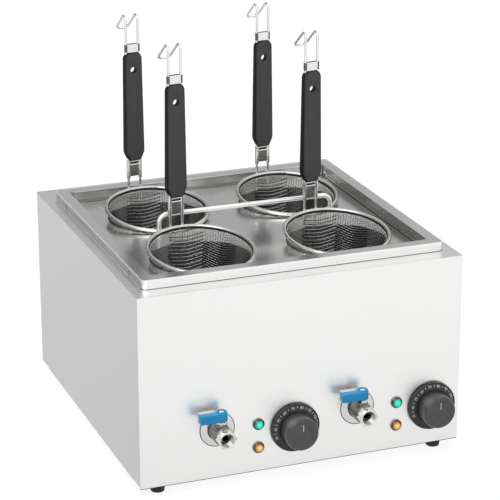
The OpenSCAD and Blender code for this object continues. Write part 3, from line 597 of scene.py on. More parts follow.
def swept(paths: Sequence[Path], radius: float, resolution: int) -> BMesh:
    """Sweep a round wire along paths.

    Args:
        paths: points of each path, and whether it closes on itself.
        radius: radius of the wire.
        resolution: roundness of the wire, 0 for four sides.

    Returns:
        The model of all wires.
    """
    curve = bpy.data.curves.new("wire", "CURVE")
    curve.dimensions = "3D"
    curve.bevel_depth = radius
    curve.bevel_resolution = resolution
    curve.use_fill_caps = True
    for points, closed in paths:
        spline = curve.splines.new("POLY")
        spline.points.add(len(points) - 1)
        spline.points.foreach_set("co", [value for point in points for value in (*point, 1.0)])
        spline.use_cyclic_u = closed
    bm = bmesh.new()
    add_curve(bm, curve, Matrix())
    bmesh.ops.remove_doubles(bm, verts=bm.verts, dist=MERGE_MM / 10)
    smooth_below(bm, 60.0 if resolution else 180.0)
    return bm


def slab(size: Point, foot: Point = (0.0, 0.0, 0.0)) -> BMesh:
    """Stand a box on a point.

    Args:
        size: its sizes along X, Y and Z.
        foot: middle of its underside.

    Returns:
        The box.
    """
    bm = bmesh.new()
    bmesh.ops.create_cube(bm, size=1.0)
    bmesh.ops.scale(bm, vec=size, verts=bm.verts)
    bmesh.ops.translate(bm, vec=(foot[0], foot[1], foot[2] + size[2] / 2), verts=bm.verts)
    return bm


def round_edges(bm: BMesh, edges: Sequence[BMEdge], radius: float, segments: int) -> None:
    """Round some edges of a model.

    Args:
        bm: model to change.
        edges: edges to round.
        radius: width of the rounding.
        segments: number of faces across it.
    """
    bmesh.ops.bevel(
        bm,
        geom=list(edges),
        offset=radius,
        offset_type="OFFSET",
        affect="EDGES",
        segments=segments,
        profile=0.5,
        material=-1,
        clamp_overlap=True,
    )


def bridged(loops: Sequence[Sequence[Point]], sharp: float = 35.0) -> BMesh:
    """Skin a row of closed loops that have the same number of points.

    Args:
        loops: points of each loop, in order.
        sharp: angle above which an edge stays sharp.

    Returns:
        The model, open at its first and last loop.
    """
    bm = bmesh.new()
    rings = []
    for loop in loops:
        verts = [bm.verts.new(point) for point in loop]
        rings.append([bm.edges.new(pair) for pair in zip(verts, verts[1:] + verts[:1])])
    for low, high in zip(rings, rings[1:]):
        bmesh.ops.bridge_loops(bm, edges=low + high)
    bmesh.ops.recalc_face_normals(bm, faces=bm.faces)
    smooth_below(bm, sharp)
    return bm


def prism(outline: Sequence[Pair], low: float, high: float) -> BMesh:
    """Raise a flat outline to a prism.

    Args:
        outline: points of the outline, in order.
        low: height of its underside.
        high: height of its top.

    Returns:
        The prism.
    """
    bm = bmesh.new()
    verts = [bm.verts.new((x, y, low)) for x, y in outline]
    edges = [bm.edges.new(pair) for pair in zip(verts, verts[1:] + verts[:1])]
    bmesh.ops.contextual_create(bm, geom=edges)
    raised = bmesh.ops.extrude_face_region(bm, geom=bm.faces[:])
    tops = [item for item in raised["geom"] if isinstance(item, BMVert)]
    bmesh.ops.translate(bm, vec=(0, 0, high - low), verts=tops)
    bmesh.ops.recalc_face_normals(bm, faces=bm.faces)
    return bm


def shrunk(outline: Sequence[Pair], inset: float, least: float = 0.3) -> list[Pair]:
    """Move an outline inwards, corner by corner.

    Args:
        outline: points of a closed outline, counter-clockwise.
        inset: distance to move each side.
        least: smallest cosine at a corner, which limits how far a sharp one moves.

    Returns:
        The smaller outline, with as many points.
    """
    points = [Vector(point) for point in outline]
    moved = []
    for before, here, after in zip(points[-1:] + points[:-1], points, points[1:] + points[:1]):
        sides = [(here - before).normalized(), (after - here).normalized()]
        normals = [Vector((-side.y, side.x)) for side in sides]
        miter = (normals[0] + normals[1]).normalized()
        moved.append(tuple(here + miter * inset / max(least, miter.dot(normals[0]))))
    return moved


def cut_out(bm: BMesh, cutter: BMesh) -> BMesh:
    """Cut one closed model out of another.

    Args:
        bm: model to cut, which is freed.
        cutter: model that is taken away, which is freed.

    Returns:
        The cut model.
    """
    holders = []
    for model in (bm, cutter):
        mesh = bpy.data.meshes.new("cut")
        model.to_mesh(mesh)
        model.free()
        holders.append(bpy.data.objects.new("cut", mesh))
        bpy.context.scene.collection.objects.link(holders[-1])
    step = holders[0].modifiers.new("cut", "BOOLEAN")
    step.operation = "DIFFERENCE"
    step.solver = "EXACT"
    step.object = holders[1]
    ready = holders[0].evaluated_get(bpy.context.evaluated_depsgraph_get())
    result = bmesh.new()
    result.from_mesh(ready.to_mesh())
    ready.to_mesh_clear()
    for holder in holders:
        mesh = holder.data
        bpy.data.objects.remove(holder)
        bpy.data.meshes.remove(mesh)
    close_seams(result)
    return result


def on_panel(x: float, z: float) -> Matrix:
    """Give a frame on the front panel: +Z leaves the panel and +Y is up.

    Args:
        x: place along the panel, in metres.
        z: height, in metres.

    Returns:
        The frame, in metres.
    """
    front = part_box("front_panel")[0].y
    return Matrix.Translation((x, front, z)) @ Matrix.Rotation(math.radians(90), 4, "X")


def middle_of(node: str) -> Vector:
    """Give the middle of a solid's box, in metres."""
    low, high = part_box(node)
    return (low + high) / 2


def box_mm(node: str) -> tuple[Vector, Vector]:
    """Give the two corners of a solid's box, in millimetres."""
    low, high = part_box(node)
    return low / MM, high / MM


def dress(nodes: dict[str, Object], finish: Finish, *names: str, edge_mm: float = 0.0) -> None:
    """Give solids their finish and, where they have an edge width, softened edges.

    Args:
        nodes: all solids by name.
        finish: their finish.
        names: solids to dress.
        edge_mm: width of the softened edges.
    """
    weld_mm, flat_angle, sharp_angle = 0.002, math.radians(0.5), math.radians(40)
    for name in names:
        solid = nodes[name]
        for slot in solid.material_slots:
            slot.material = material_of(finish)
        weld = solid.modifiers.new("weld", "WELD")
        weld.merge_threshold = weld_mm * MM
        if edge_mm:
            flats = solid.modifiers.new("whole flats", "DECIMATE")
            flats.decimate_type = "DISSOLVE"
            flats.angle_limit = flat_angle
            bevel = solid.modifiers.new("soft edges", "BEVEL")
            bevel.width = edge_mm * MM
            bevel.segments = 2
            bevel.limit_method = "ANGLE"
            bevel.angle_limit = sharp_angle
            bevel.harden_normals = True
        LOG.info("%s: %s", name, finish.name.lower())


@dataclass
class Casing:
    """Folded sheet casing with its feet, vents and cable gland, and a dark strip of painted shade under the
    front fold.
    """

    edge_mm: float = 0.5
    strip: float = 1.0
    strip_depth: float = 4.0
    strip_short: float = 0.6
    strip_back: float = 0.2
    strip_round: float = 0.25

    def build_strip(self) -> None:
        """Lay the dark strip of painted shade under the front panel's lower fold."""
        low, high = box_mm("front_panel")
        bm = slab((high.x - low.x - self.strip_short, self.strip_depth, self.strip))
        round_edges(bm, bm.edges, self.strip_round, 2)
        middle = Vector((0, low.y + self.strip_depth / 2 + self.strip_back, low.z - self.strip))
        make_piece("front_fold_shade", bm, Matrix.Translation(middle * MM), Finish.SHADE_BEAD, ROOT_BODY)

    def build(self, nodes: dict[str, Object]) -> None:
        """Build the strip and dress the casing's solids.

        Args:
            nodes: all solids by name.
        """
        self.build_strip()
        panels = ("front_panel", "left_side_panel", "right_side_panel", "rear_panel", "base_plate")
        dress(nodes, Finish.CASING, *panels, edge_mm=self.edge_mm)
        dress(nodes, Finish.RUBBER, "feet")
        dress(nodes, Finish.WIRE, "foot_screws")
        dress(nodes, Finish.GLAND, "cable_gland")
        dress(nodes, Finish.WHITE, "terminal_block")


@dataclass
class TankFrame:
    """Raised frame with its rivets, wells, heaters and basket plate, its rounded edges and its seals.

    A bright bead of painted highlight runs along the edges, dark rings of painted shadow lie round the
    rivets, and the front seal is a dark bead of painted shade.
    """

    edge_mm: float = 0.5
    corner: float = 7.0
    corner_steps: int = 8
    band: float = 16.0
    bead: float = 0.55
    # The bead of painted highlight along the band's folded edges.
    highlight_wire: float = 0.75
    highlight_proud: float = 0.1
    # The dark rings of painted shadow under the rivets' heads.
    rivet_shadow: float = 2.7
    rivet_shadow_wire: float = 0.45
    rivet_shadow_steps: int = 24

    def corners(self, radius: float, height: float) -> list[list[Point]]:
        """Lay out the frame's round corners, from the front left by the right to the rear left.

        Args:
            radius: radius of the arcs, about the middles of the frame's own corners.
            height: height of the arcs.

        Returns:
            The points of each corner.
        """
        low, high = box_mm("tank_frame")
        left, front = low.x + self.corner, low.y + self.corner
        right, rear = high.x - self.corner, high.y - self.corner
        starts = ((left, front, 180), (right, front, 270), (right, rear, 0), (left, rear, 90))
        arcs = [arc((x, y), radius, start, start + 90, self.corner_steps) for x, y, start in starts]
        return [[(x, y, height) for x, y in points] for points in arcs]

    def build_seal_and_shade(self) -> None:
        """Lay the beads where the frame stands on the casing: a dark bead of painted shade in front, a pale
        sealing bead round the rest.
        """
        corners = self.corners(self.corner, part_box("front_panel")[1].z / MM)
        front = corners[0] + corners[1]
        rest = [front[-1], *corners[2], *corners[3], front[0]]
        for name, run, finish in (
            # Painted shade: the front bead is dark for the shaded gap under the frame.
            ("frame_front_shade", front, Finish.SHADE_BEAD),
            ("frame_seal_rear", rest, Finish.CLEAR_SHADE_BEAD),
        ):
            make_piece(name, swept([(run, False)], self.bead, 1), Matrix(), finish, ROOT_BODY)

    def build_edge_highlight(self) -> None:
        """Lay a bright bead of painted highlight along the folded edges of the band: the outer one all the
        way, the inner one along the rear.
        """
        low, high = box_mm("tank_frame")
        sunk = self.highlight_wire - self.highlight_proud
        corners = self.corners(self.corner - sunk, high.z - sunk)
        outer = [point for corner in corners[2:] + corners[:2] for point in corner]
        reach, y, z = self.band + self.corner, high.y - self.band + sunk, high.z - sunk
        inner = [(low.x + reach, y, z), (high.x - reach, y, z)]
        bm = swept([(outer, True), (inner, False)], self.highlight_wire, 2)
        make_piece("frame_edge_highlight", bm, Matrix(), Finish.EDGE, ROOT_BODY)

    def build_rivet_shadows(self) -> None:
        """Set a dark ring of painted shadow under the head of each rivet."""
        low, high = box_mm("frame_rivets")
        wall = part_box("tank_frame")[1].x / MM
        middle, reach = (low.z + high.z) / 2, (high.z - low.z) / 2
        rings = []
        for x in (-wall, wall):
            for y in (low.y + reach, high.y - reach):
                ring = arc((y, middle), self.rivet_shadow, 0, 360, self.rivet_shadow_steps)[:-1]
                rings.append(([(x, *point) for point in ring], True))
        bm = swept(rings, self.rivet_shadow_wire, 1)
        make_piece("rivet_shadow_rings", bm, Matrix(), Finish.SHADE_BEAD, ROOT_BODY)

    def build(self, nodes: dict[str, Object]) -> None:
        """Build the seals, the painted edge highlight and the painted rivet shadows, and dress the frame's
        solids.

        Args:
            nodes: all solids by name.
        """
        self.build_seal_and_shade()
        self.build_edge_highlight()
        self.build_rivet_shadows()
        dress(nodes, Finish.FRAME, "tank_frame", edge_mm=self.edge_mm)
        dress(nodes, Finish.WIRE, "frame_rivets", "sensing_bulbs")
        dress(nodes, Finish.TANK, "tank_left", "tank_right", "well_deck")
        dress(nodes, Finish.HEATER, "heater_left", "heater_right")
        dress(nodes, Finish.PLATE, "basket_plate", edge_mm=self.edge_mm)
        dress(nodes, Finish.BAR, "lift_bar")


@dataclass
class Basket:
    """Lift-out basket: woven cup in a rolled rim, one bent wire, sheet clips and a moulded grip.

    The sizes are in millimetres, in a frame at the middle of the rim.
    """

    place: Place
    turn: float = 7.0
    tilt: float = 7.5
    # The rim, and the dark ring of painted shade under it.
    rim_radius: float = 67.5
    rim_wire: float = 2.5
    rim_steps: int = 128
    shade_ring_wire: float = 1.15
    shade_ring_out: float = 0.4
    shade_ring_up: float = 0.7
    # The cup's section and weave.
    cup_radius: float = 64.3
    knee_radius: float = 46.4
    knee_depth: float = 114.0
    bend: float = 17.4
    pitch: float = 3.2
    columns: int = 118
    wire: float = 0.45
    hang: float = 1.9
    hang_gap: float = 0.3
    flare: float = 2.6
    flare_run: float = 5.0
    floor_lap: float = 1.0
    floor_edge: float = 0.5
    # The folds of the pressed sheet, the ripples where it laps over itself, and dark wires of painted shade
    # in their troughs.
    folds: int = 8
    fold_rise: float = 6.5
    fold_angle: float = 60.0
    fold_fade: float = 0.6
    fold_bend: float = 1.6
    lap_wire: float = 0.55
    lap_pitch: float = 4.9
    lap_slack: float = 0.6
    lap_steps: int = 14
    trough_shade_wire: float = 0.5
    # The handle's wire and its hook.
    handle_wire: float = 1.6
    wire_pitch: float = 17.0
    leg_reach: float = 70.61
    hook_bend: float = 5.0
    hook_lean: float = 48.0
    hook_run: float = 24.0
    # The clips below and above the grip.
    clip_length: float = 25.0
    sleeve: float = 2.6
    sleeve_gap: float = 0.15
    sleeve_edge: float = 0.3
    roll: float = 1.8
    roll_drops: Pair = (1.4, 6.2)
    slot_low: float = 7.6
    web_gap: float = 3.5
    web_sheet: float = 0.9
    web_lap: float = 1.0
    web_rise: float = 2.6
    collar: float = 11.0
    collar_wall: float = 0.85
    collar_sheet: float = 0.7
    collar_lip: float = 0.2
    collar_end: float = 0.15
    # The grip and its hanging hole.
    grip_width: float = 28.0
    grip_depth: float = 13.0
    grip_thin: float = 0.68
    grip_taper: float = 2.5
    grip_top_round: float = 9.5
    grip_foot: float = 20.0
    grip_foot_round: float = 4.5
    grip_shoulder: float = 12.0
    shoulder_steps: tuple[Pair, ...] = ((1.2, -2.5), (0.3, 0.0), (0.0, 4.0))
    grip_edge: float = 3.6
    grip_shade_share: float = 0.4
    hang_drop: float = 24.0
    hang_bore: float = 4.25
    hang_flare: float = 1.2
    hang_over: float = 1.0

    @property
    def body(self) -> str:
        """Name of the basket's body."""
        return f"basket_{self.place.value}"

    def node(self, piece: str) -> str:
        """Name of one of the basket's solids or pieces."""
        return f"{piece}_{self.place.value}"

    @property
    def upright(self) -> Matrix:
        """Frame of the handle, at the middle of the rim."""
        middle = Matrix.Translation(middle_of(self.node("basket_rim")))
        return middle @ Matrix.Rotation(math.radians(self.turn), 4, "Z")

    @property
    def leaning(self) -> Matrix:
        """Frame of the cup and the rim."""
        return self.upright @ Matrix.Rotation(math.radians(self.tilt), 4, "X")

    @property
    def wall_run(self) -> float:
        """Length of the cup's straight wall."""
        return math.hypot(self.cup_radius - self.knee_radius, self.knee_depth)

    @property
    def cup_run(self) -> float:
        """Length of the cup's section from the rim to the flat floor."""
        return self.wall_run + self.bend * math.pi / 2

    def add(self, piece: str, bm: BMesh, place: Matrix, finish: Finish, slot: str, solid: str) -> None:
        """Make one of the basket's pieces, which stands for one of its solids.

        Args:
            piece: kind of piece.
            bm: its model.
            place: frame of the model.
            finish: its finish.
            slot: not used.
            solid: kind of solid.
        """
        make_piece(self.node(piece), bm, place, finish, self.body, [self.node(solid)])

    def on_cup(self, run: float, angle: float, lift: float) -> Point:
        """Find a point of the cup.

        Args:
            run: distance from the rim along the section.
            angle: angle round the axis, in radians.
            lift: height above the cup's skin, outwards.

        Returns:
            The point in the cup's frame.
        """
        if run <= self.wall_run:
            share = run / self.wall_run
            spread = self.flare * max(0.0, 1 - run / self.flare_run) ** 2
            radius = self.cup_radius + (self.knee_radius - self.cup_radius) * share + spread + lift
            height = -self.knee_depth * share
        else:
            a = (run - self.wall_run) / self.bend
            radius = self.knee_radius - self.bend + (self.bend + lift) * math.cos(a)
            height = -self.knee_depth - (self.bend + lift) * math.sin(a)
        return (radius * math.cos(angle), radius * math.sin(angle), height)

    def row_run(self, row: float, angle: float) -> float:
        """Find where a row of the weave crosses an angle: it is pulled up at the folds of the pressed sheet.

        Args:
            row: row of the weave, counted from the rim.
            angle: angle round the axis, in radians.

        Returns:
            The distance from the rim along the section.
        """
        half = math.pi / self.folds
        off = 1 - abs((angle - math.radians(self.fold_angle) + half) % (2 * half) - half) / half
        run = row * self.pitch
        left = min(1.0, max(0.0, (self.cup_run - run) / (self.cup_run * self.fold_fade)))
        return run - self.fold_rise * off**self.fold_bend * left * left * (3 - 2 * left)

    def weave_paths(self) -> list[Path]:
        """Lay out the wires of the cup: rows round it, columns down it and a square floor.

        Returns:
            The paths of the wires.
        """
        rows = int(self.cup_run / self.pitch) + 1
        angles = [2 * math.pi * k / self.columns for k in range(self.columns)]
        runs = [[self.row_run(j, a) for a in angles] for j in range(rows)]
        paths: list[Path] = []
        for j, row in enumerate(runs):
            inside = [run >= self.hang for run in row]
            lifts = [self.wire * (-1) ** (j + k) for k in range(self.columns)]
            points = [self.on_cup(max(run, 0.0), a, lift) for run, a, lift in zip(row, angles, lifts)]
            if all(inside):
                paths.append((points, True))
                continue
            start = inside.index(False)
            stretch: list[Point] = []
            for k in range(start, start + self.columns + 1):
                here = k % self.columns
                if inside[here]:
                    stretch.append(points[here])
                    continue
                if len(stretch) > 1:
                    paths.append((stretch, False))
                stretch = []
        for k, a in enumerate(angles):
            column = [self.on_cup(self.hang, a, 0.0)]
            for j, row in enumerate(runs):
                if row[k] > self.hang + self.hang_gap:
                    column.append(self.on_cup(row[k], a, -self.wire * (-1) ** (j + k)))
            paths.append((column, False))
        return paths + self.floor_paths()

    def floor_paths(self) -> list[Path]:
        """Lay out the square weave of the flat floor.

        Returns:
            The paths of the wires.
        """
        radius = self.knee_radius - self.bend + self.floor_lap
        depth = -self.knee_depth - self.bend
        count = int(radius / self.pitch)
        paths: list[Path] = []
        for m in range(-count, count + 1):
            across = m * self.pitch
            half = math.sqrt(radius**2 - across**2)
            inner = int((half - self.floor_edge) / self.pitch)
            for sign in (1, -1):
                waves = [(n * self.pitch, sign * (-1) ** (m + n)) for n in range(-inner, inner + 1)]
                run = [(along, depth + self.wire * lift) for along, lift in [(-half, 0), *waves, (half, 0)]]
                along_x = [(along, across, z) for along, z in run]
                along_y = [(across, along, z) for along, z in run]
                paths.append((along_x if sign > 0 else along_y, False))
        return paths

    def lap_paths(self, phase: float) -> list[Path]:
        """Lay out the ripples where the pressed sheet laps over itself beside a fold.

        Args:
            phase: 0 for the crests of the ripples, 0.5 for the troughs.

        Returns:
            The paths of the wires.
        """
        steps = self.lap_steps
        angles = [math.radians(self.fold_angle + 360 / self.folds * k / steps) for k in range(steps + 1)]
        inside = -2 * self.wire - self.lap_wire
        paths: list[Path] = []
        for ripple in range(1, int(self.wall_run / self.lap_pitch)):
            runs = [self.row_run((ripple + phase) * self.lap_pitch / self.pitch, a) for a in angles]
            lowest = max(runs)
            for k in range(steps // 2 + 1, steps + 1):
                runs[k] = lowest - (lowest - runs[k]) * self.lap_slack
            if min(runs) > self.flare_run:
                paths.append(([self.on_cup(run, a, inside) for run, a in zip(runs, angles)], False))
        return paths

    def build_cup(self) -> None:
        """Weave the cup, and lay the ripples of its lap, with dark wires of painted shade in their troughs.
        """
        for piece, paths, radius, roundness, finish in (
            ("woven_cup", self.weave_paths(), self.wire, 0, Finish.MESH),
            ("lap_wires", self.lap_paths(0.0), self.lap_wire, 1, Finish.LAP),
            ("lap_trough_shades", self.lap_paths(0.5), self.trough_shade_wire, 1, Finish.TROUGH_SHADE),
        ):
            bm = swept(paths, radius, roundness)
            self.add(piece, bm, self.leaning, finish, "mesh_steel", "mesh_cup")

    def build_rim(self) -> None:
        """Close the rim's wire to a ring, with a dark ring of painted shade under it, where the mesh is
        folded in.
        """
        inside = self.rim_radius - self.rim_wire + self.shade_ring_out
        for piece, radius, height, wire, finish in (
            ("rim_ring", self.rim_radius, 0.0, self.rim_wire, Finish.RIM),
            ("rim_shade_ring", inside, self.shade_ring_up - self.rim_wire, self.shade_ring_wire, Finish.SEAM),
        ):
            profile = arc((radius, height), wire, 0, 360, 28)
            profile[-1] = profile[0]
            self.add(piece, spun(profile, self.rim_steps), self.leaning, finish, "wire_steel", "basket_rim")

    def height_of(self, piece: str, end: int) -> float:
        """Find an end of one of the basket's solids, above the middle of the rim.

        Args:
            piece: kind of solid.
            end: 0 for its lower end, 1 for its upper end.

        Returns:
            The height in millimetres.
        """
        return (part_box(self.node(piece))[end].z - middle_of(self.node("basket_rim")).z) / MM

    def wire_path(self) -> list[Point]:
        """Lay out the handle's wire: up one leg, over the hook, round its end and down the other leg.

        Returns:
            The points of the wire.
        """
        half, bend = self.wire_pitch / 2, self.hook_bend
        lean = math.radians(self.hook_lean)
        top = self.height_of("handle_wire", 1) - self.handle_wire - bend
        down = Vector((0, math.sin(lean), -math.cos(lean)))
        back = Vector((0, math.cos(lean), math.sin(lean)))
        start = Vector((0, self.leg_reach + bend, top)) + bend * back + self.hook_run * down
        leg = [(self.leg_reach, self.height_of("handle_wire", 0))]
        leg += arc((self.leg_reach + bend, top), bend, 180, self.hook_lean, 16)
        end = [start + Vector((x, 0, 0)) + run * down for x, run in arc((0.0, 0.0), half, 180, 0, 24)]
        return [
            *[(-half, y, z) for y, z in leg],
            *[tuple(point) for point in end],
            *[(half, y, z) for y, z in reversed(leg)],
        ]

    def build_wire(self) -> None:
        """Bend the handle's wire."""
        bm = swept([(self.wire_path(), False)], self.handle_wire, 4)
        self.add("bent_wire", bm, self.upright, Finish.LEG, "wire_steel", "handle_wire")

    def sleeves(self, radius: float, low: float, high: float) -> BMesh:
        """Roll a sleeve round each leg of the wire.

        Args:
            radius: outer radius of the sleeves.
            low: height of their lower ends.
            high: height of their upper ends.

        Returns:
            The two sleeves.
        """
        hole, edge = self.handle_wire + self.sleeve_gap, self.sleeve_edge
        lower = [(hole, low), (radius - edge, low), (radius, low + edge)]
        upper = [(radius, high - edge), (radius - edge, high), (hole, high)]
        bm = spun([*lower, *upper, lower[0]], 32)
        bmesh.ops.translate(bm, vec=(-self.wire_pitch / 2, 0, 0), verts=bm.verts)
        twin = bmesh.ops.duplicate(bm, geom=bm.verts[:] + bm.edges[:] + bm.faces[:])["geom"]
        moved = [item for item in twin if isinstance(item, BMVert)]
        bmesh.ops.translate(bm, vec=(self.wire_pitch, 0, 0), verts=moved)
        return bm

    def collar_band(self, low: float) -> BMesh:
        """Bend the band above the grip.

        Args:
            low: height of its lower edge.

        Returns:
            The band.
        """
        half, deep = self.wire_pitch / 2, self.handle_wire + self.collar_wall
        outer = arc((half, 0.0), deep, -90, 90, 10) + arc((-half, 0.0), deep, 90, 270, 10)
        narrow, thin = 1 - self.collar_sheet / (half + deep), 1 - self.collar_sheet / deep
        inner = [(x * narrow, y * thin) for x, y in outer]
        top, lip = low + self.collar, low + self.collar_lip
        steps = ((inner, lip), (outer, low), (outer, top), (inner, top), (inner, lip))
        return bridged([[(x, y, z) for x, y in ring] for ring, z in steps])

    def build_clip(self) -> None:
        """Fold the sheet clips round the legs of the wire.

        Below the grip, two sleeves carry two rolls with a dark strip of painted shade for the slot between
        them, and a web below that is darkened as painted shade. Above the grip, a bright collar ends in
        sleeves darkened as painted shade.
        """
        low, high = self.height_of("grip", 0), self.height_of("grip", 1)
        half, foot = self.wire_pitch / 2, low - self.clip_length
        upper, lower = (low - drop for drop in self.roll_drops)
        rolls = [([(-half, 0.0, z), (half, 0.0, z)], False) for z in (upper, lower)]
        width, sheet = self.wire_pitch - self.web_gap, self.web_sheet
        slot = slab((width, sheet, upper - lower), (0.0, 0.0, lower))
        web_height = self.clip_length - self.slot_low + self.web_lap - self.web_rise
        web = slab((width, sheet, web_height), (0.0, 0.0, foot + self.web_rise))
        end = self.handle_wire + self.collar_wall + self.collar_end
        ends = self.sleeves(end, high + self.sleeve_edge, high + self.collar - self.sleeve_edge)
        place = self.upright @ Matrix.Translation((0, self.leg_reach * MM, 0))
        for piece, bm, finish in (
            ("clip_sleeves", self.sleeves(self.sleeve, foot, low), Finish.CLIP),
            ("clip_rolls", swept(rolls, self.roll, 3), Finish.CLIP),
            ("clip_slot_shade", slot, Finish.SEAM),
            ("clip_web", web, Finish.SHADED_WEB),
            ("collar", self.collar_band(high), Finish.CLIP),
            ("collar_ends", ends, Finish.SHADED_COLLAR),
        ):
            self.add(piece, bm, place, finish, "wire_steel", "handle_clips")

    def grip_outline(self, length: float) -> list[Pair]:
        """Lay out the grip's front: a narrow foot, slanting shoulders and round corners at the top.

        Args:
            length: length of the grip.

        Returns:
            The outline, across and along the grip.
        """
        foot, wide = self.grip_foot / 2, self.grip_width / 2
        low_round, top_round = self.grip_foot_round, self.grip_top_round
        top = wide - self.grip_taper / 2
        right = arc((foot - low_round, low_round), low_round, -90, -20, 5)
        right += [(wide - inset, self.grip_shoulder + rise) for inset, rise in self.shoulder_steps]
        right += arc((top - top_round, length - top_round), top_round, 0, 90, 12)
        return right + [(-x, z) for x, z in reversed(right)]

    def hang_cutter(self, length: float) -> BMesh:
        """Turn the shape of the hanging hole, with its round mouths.

        Args:
            length: length of the grip.

        Returns:
            The model to cut out of the grip.
        """
        half, wide = self.grip_depth / 2, self.hang_bore + self.hang_flare
        mouth = arc((wide, half - self.hang_flare), self.hang_flare, 90, 180, 4)
        front = [(0.0, half + self.hang_over), (wide, half + self.hang_over), *mouth]
        bm = spun(front + [(radius, -height) for radius, height in reversed(front)], 40)
        bmesh.ops.translate(bm, vec=(0, length - self.hang_drop, 0), verts=bm.verts)
        return bm

    def build_grip(self) -> None:
        """Mould the grip: flat faces, soft edges, thinner towards its top, and a hanging hole."""
        low, high = self.height_of("grip", 0), self.height_of("grip", 1)
        length, half, edge = high - low, self.grip_depth / 2, self.grip_edge
        outline = self.grip_outline(length)
        rounding = arc((edge, half - edge), edge, 180, 90, 6)
        steps = [(inset, -height) for inset, height in reversed(rounding)] + rounding
        bm = bridged([[(x, y, height) for x, y in shrunk(outline, inset)] for inset, height in steps])
        bmesh.ops.holes_fill(bm, edges=[e for e in bm.edges if e.is_boundary], sides=0)
        bmesh.ops.recalc_face_normals(bm, faces=bm.faces)
        bm = cut_out(bm, self.hang_cutter(length))
        # Painted shade: "face" runs from 1 on the flat faces to 0 on the rounded edges and sides, which the
        # finish darkens.
        face = bm.verts.layers.float.new("face")
        for vert in bm.verts:
            vert[face] = max(0.0, 1 - (half - abs(vert.co.z)) / (edge * self.grip_shade_share))
            vert.co.z *= 1 - (1 - self.grip_thin) * max(0.0, vert.co.y) / length
        smooth_below(bm, 30)
        bmesh.ops.rotate(bm, matrix=Matrix.Rotation(math.radians(90), 3, "X"), verts=bm.verts)
        place = self.upright @ Matrix.Translation((0, self.leg_reach * MM, low * MM))
        self.add("moulded_grip", bm, place, Finish.GRIP, "grip_plastic", "grip")

    def build(self) -> None:
        """Build the basket's pieces."""
        self.build_cup()
        self.build_rim()
        self.build_wire()
        self.build_grip()
        self.build_clip()


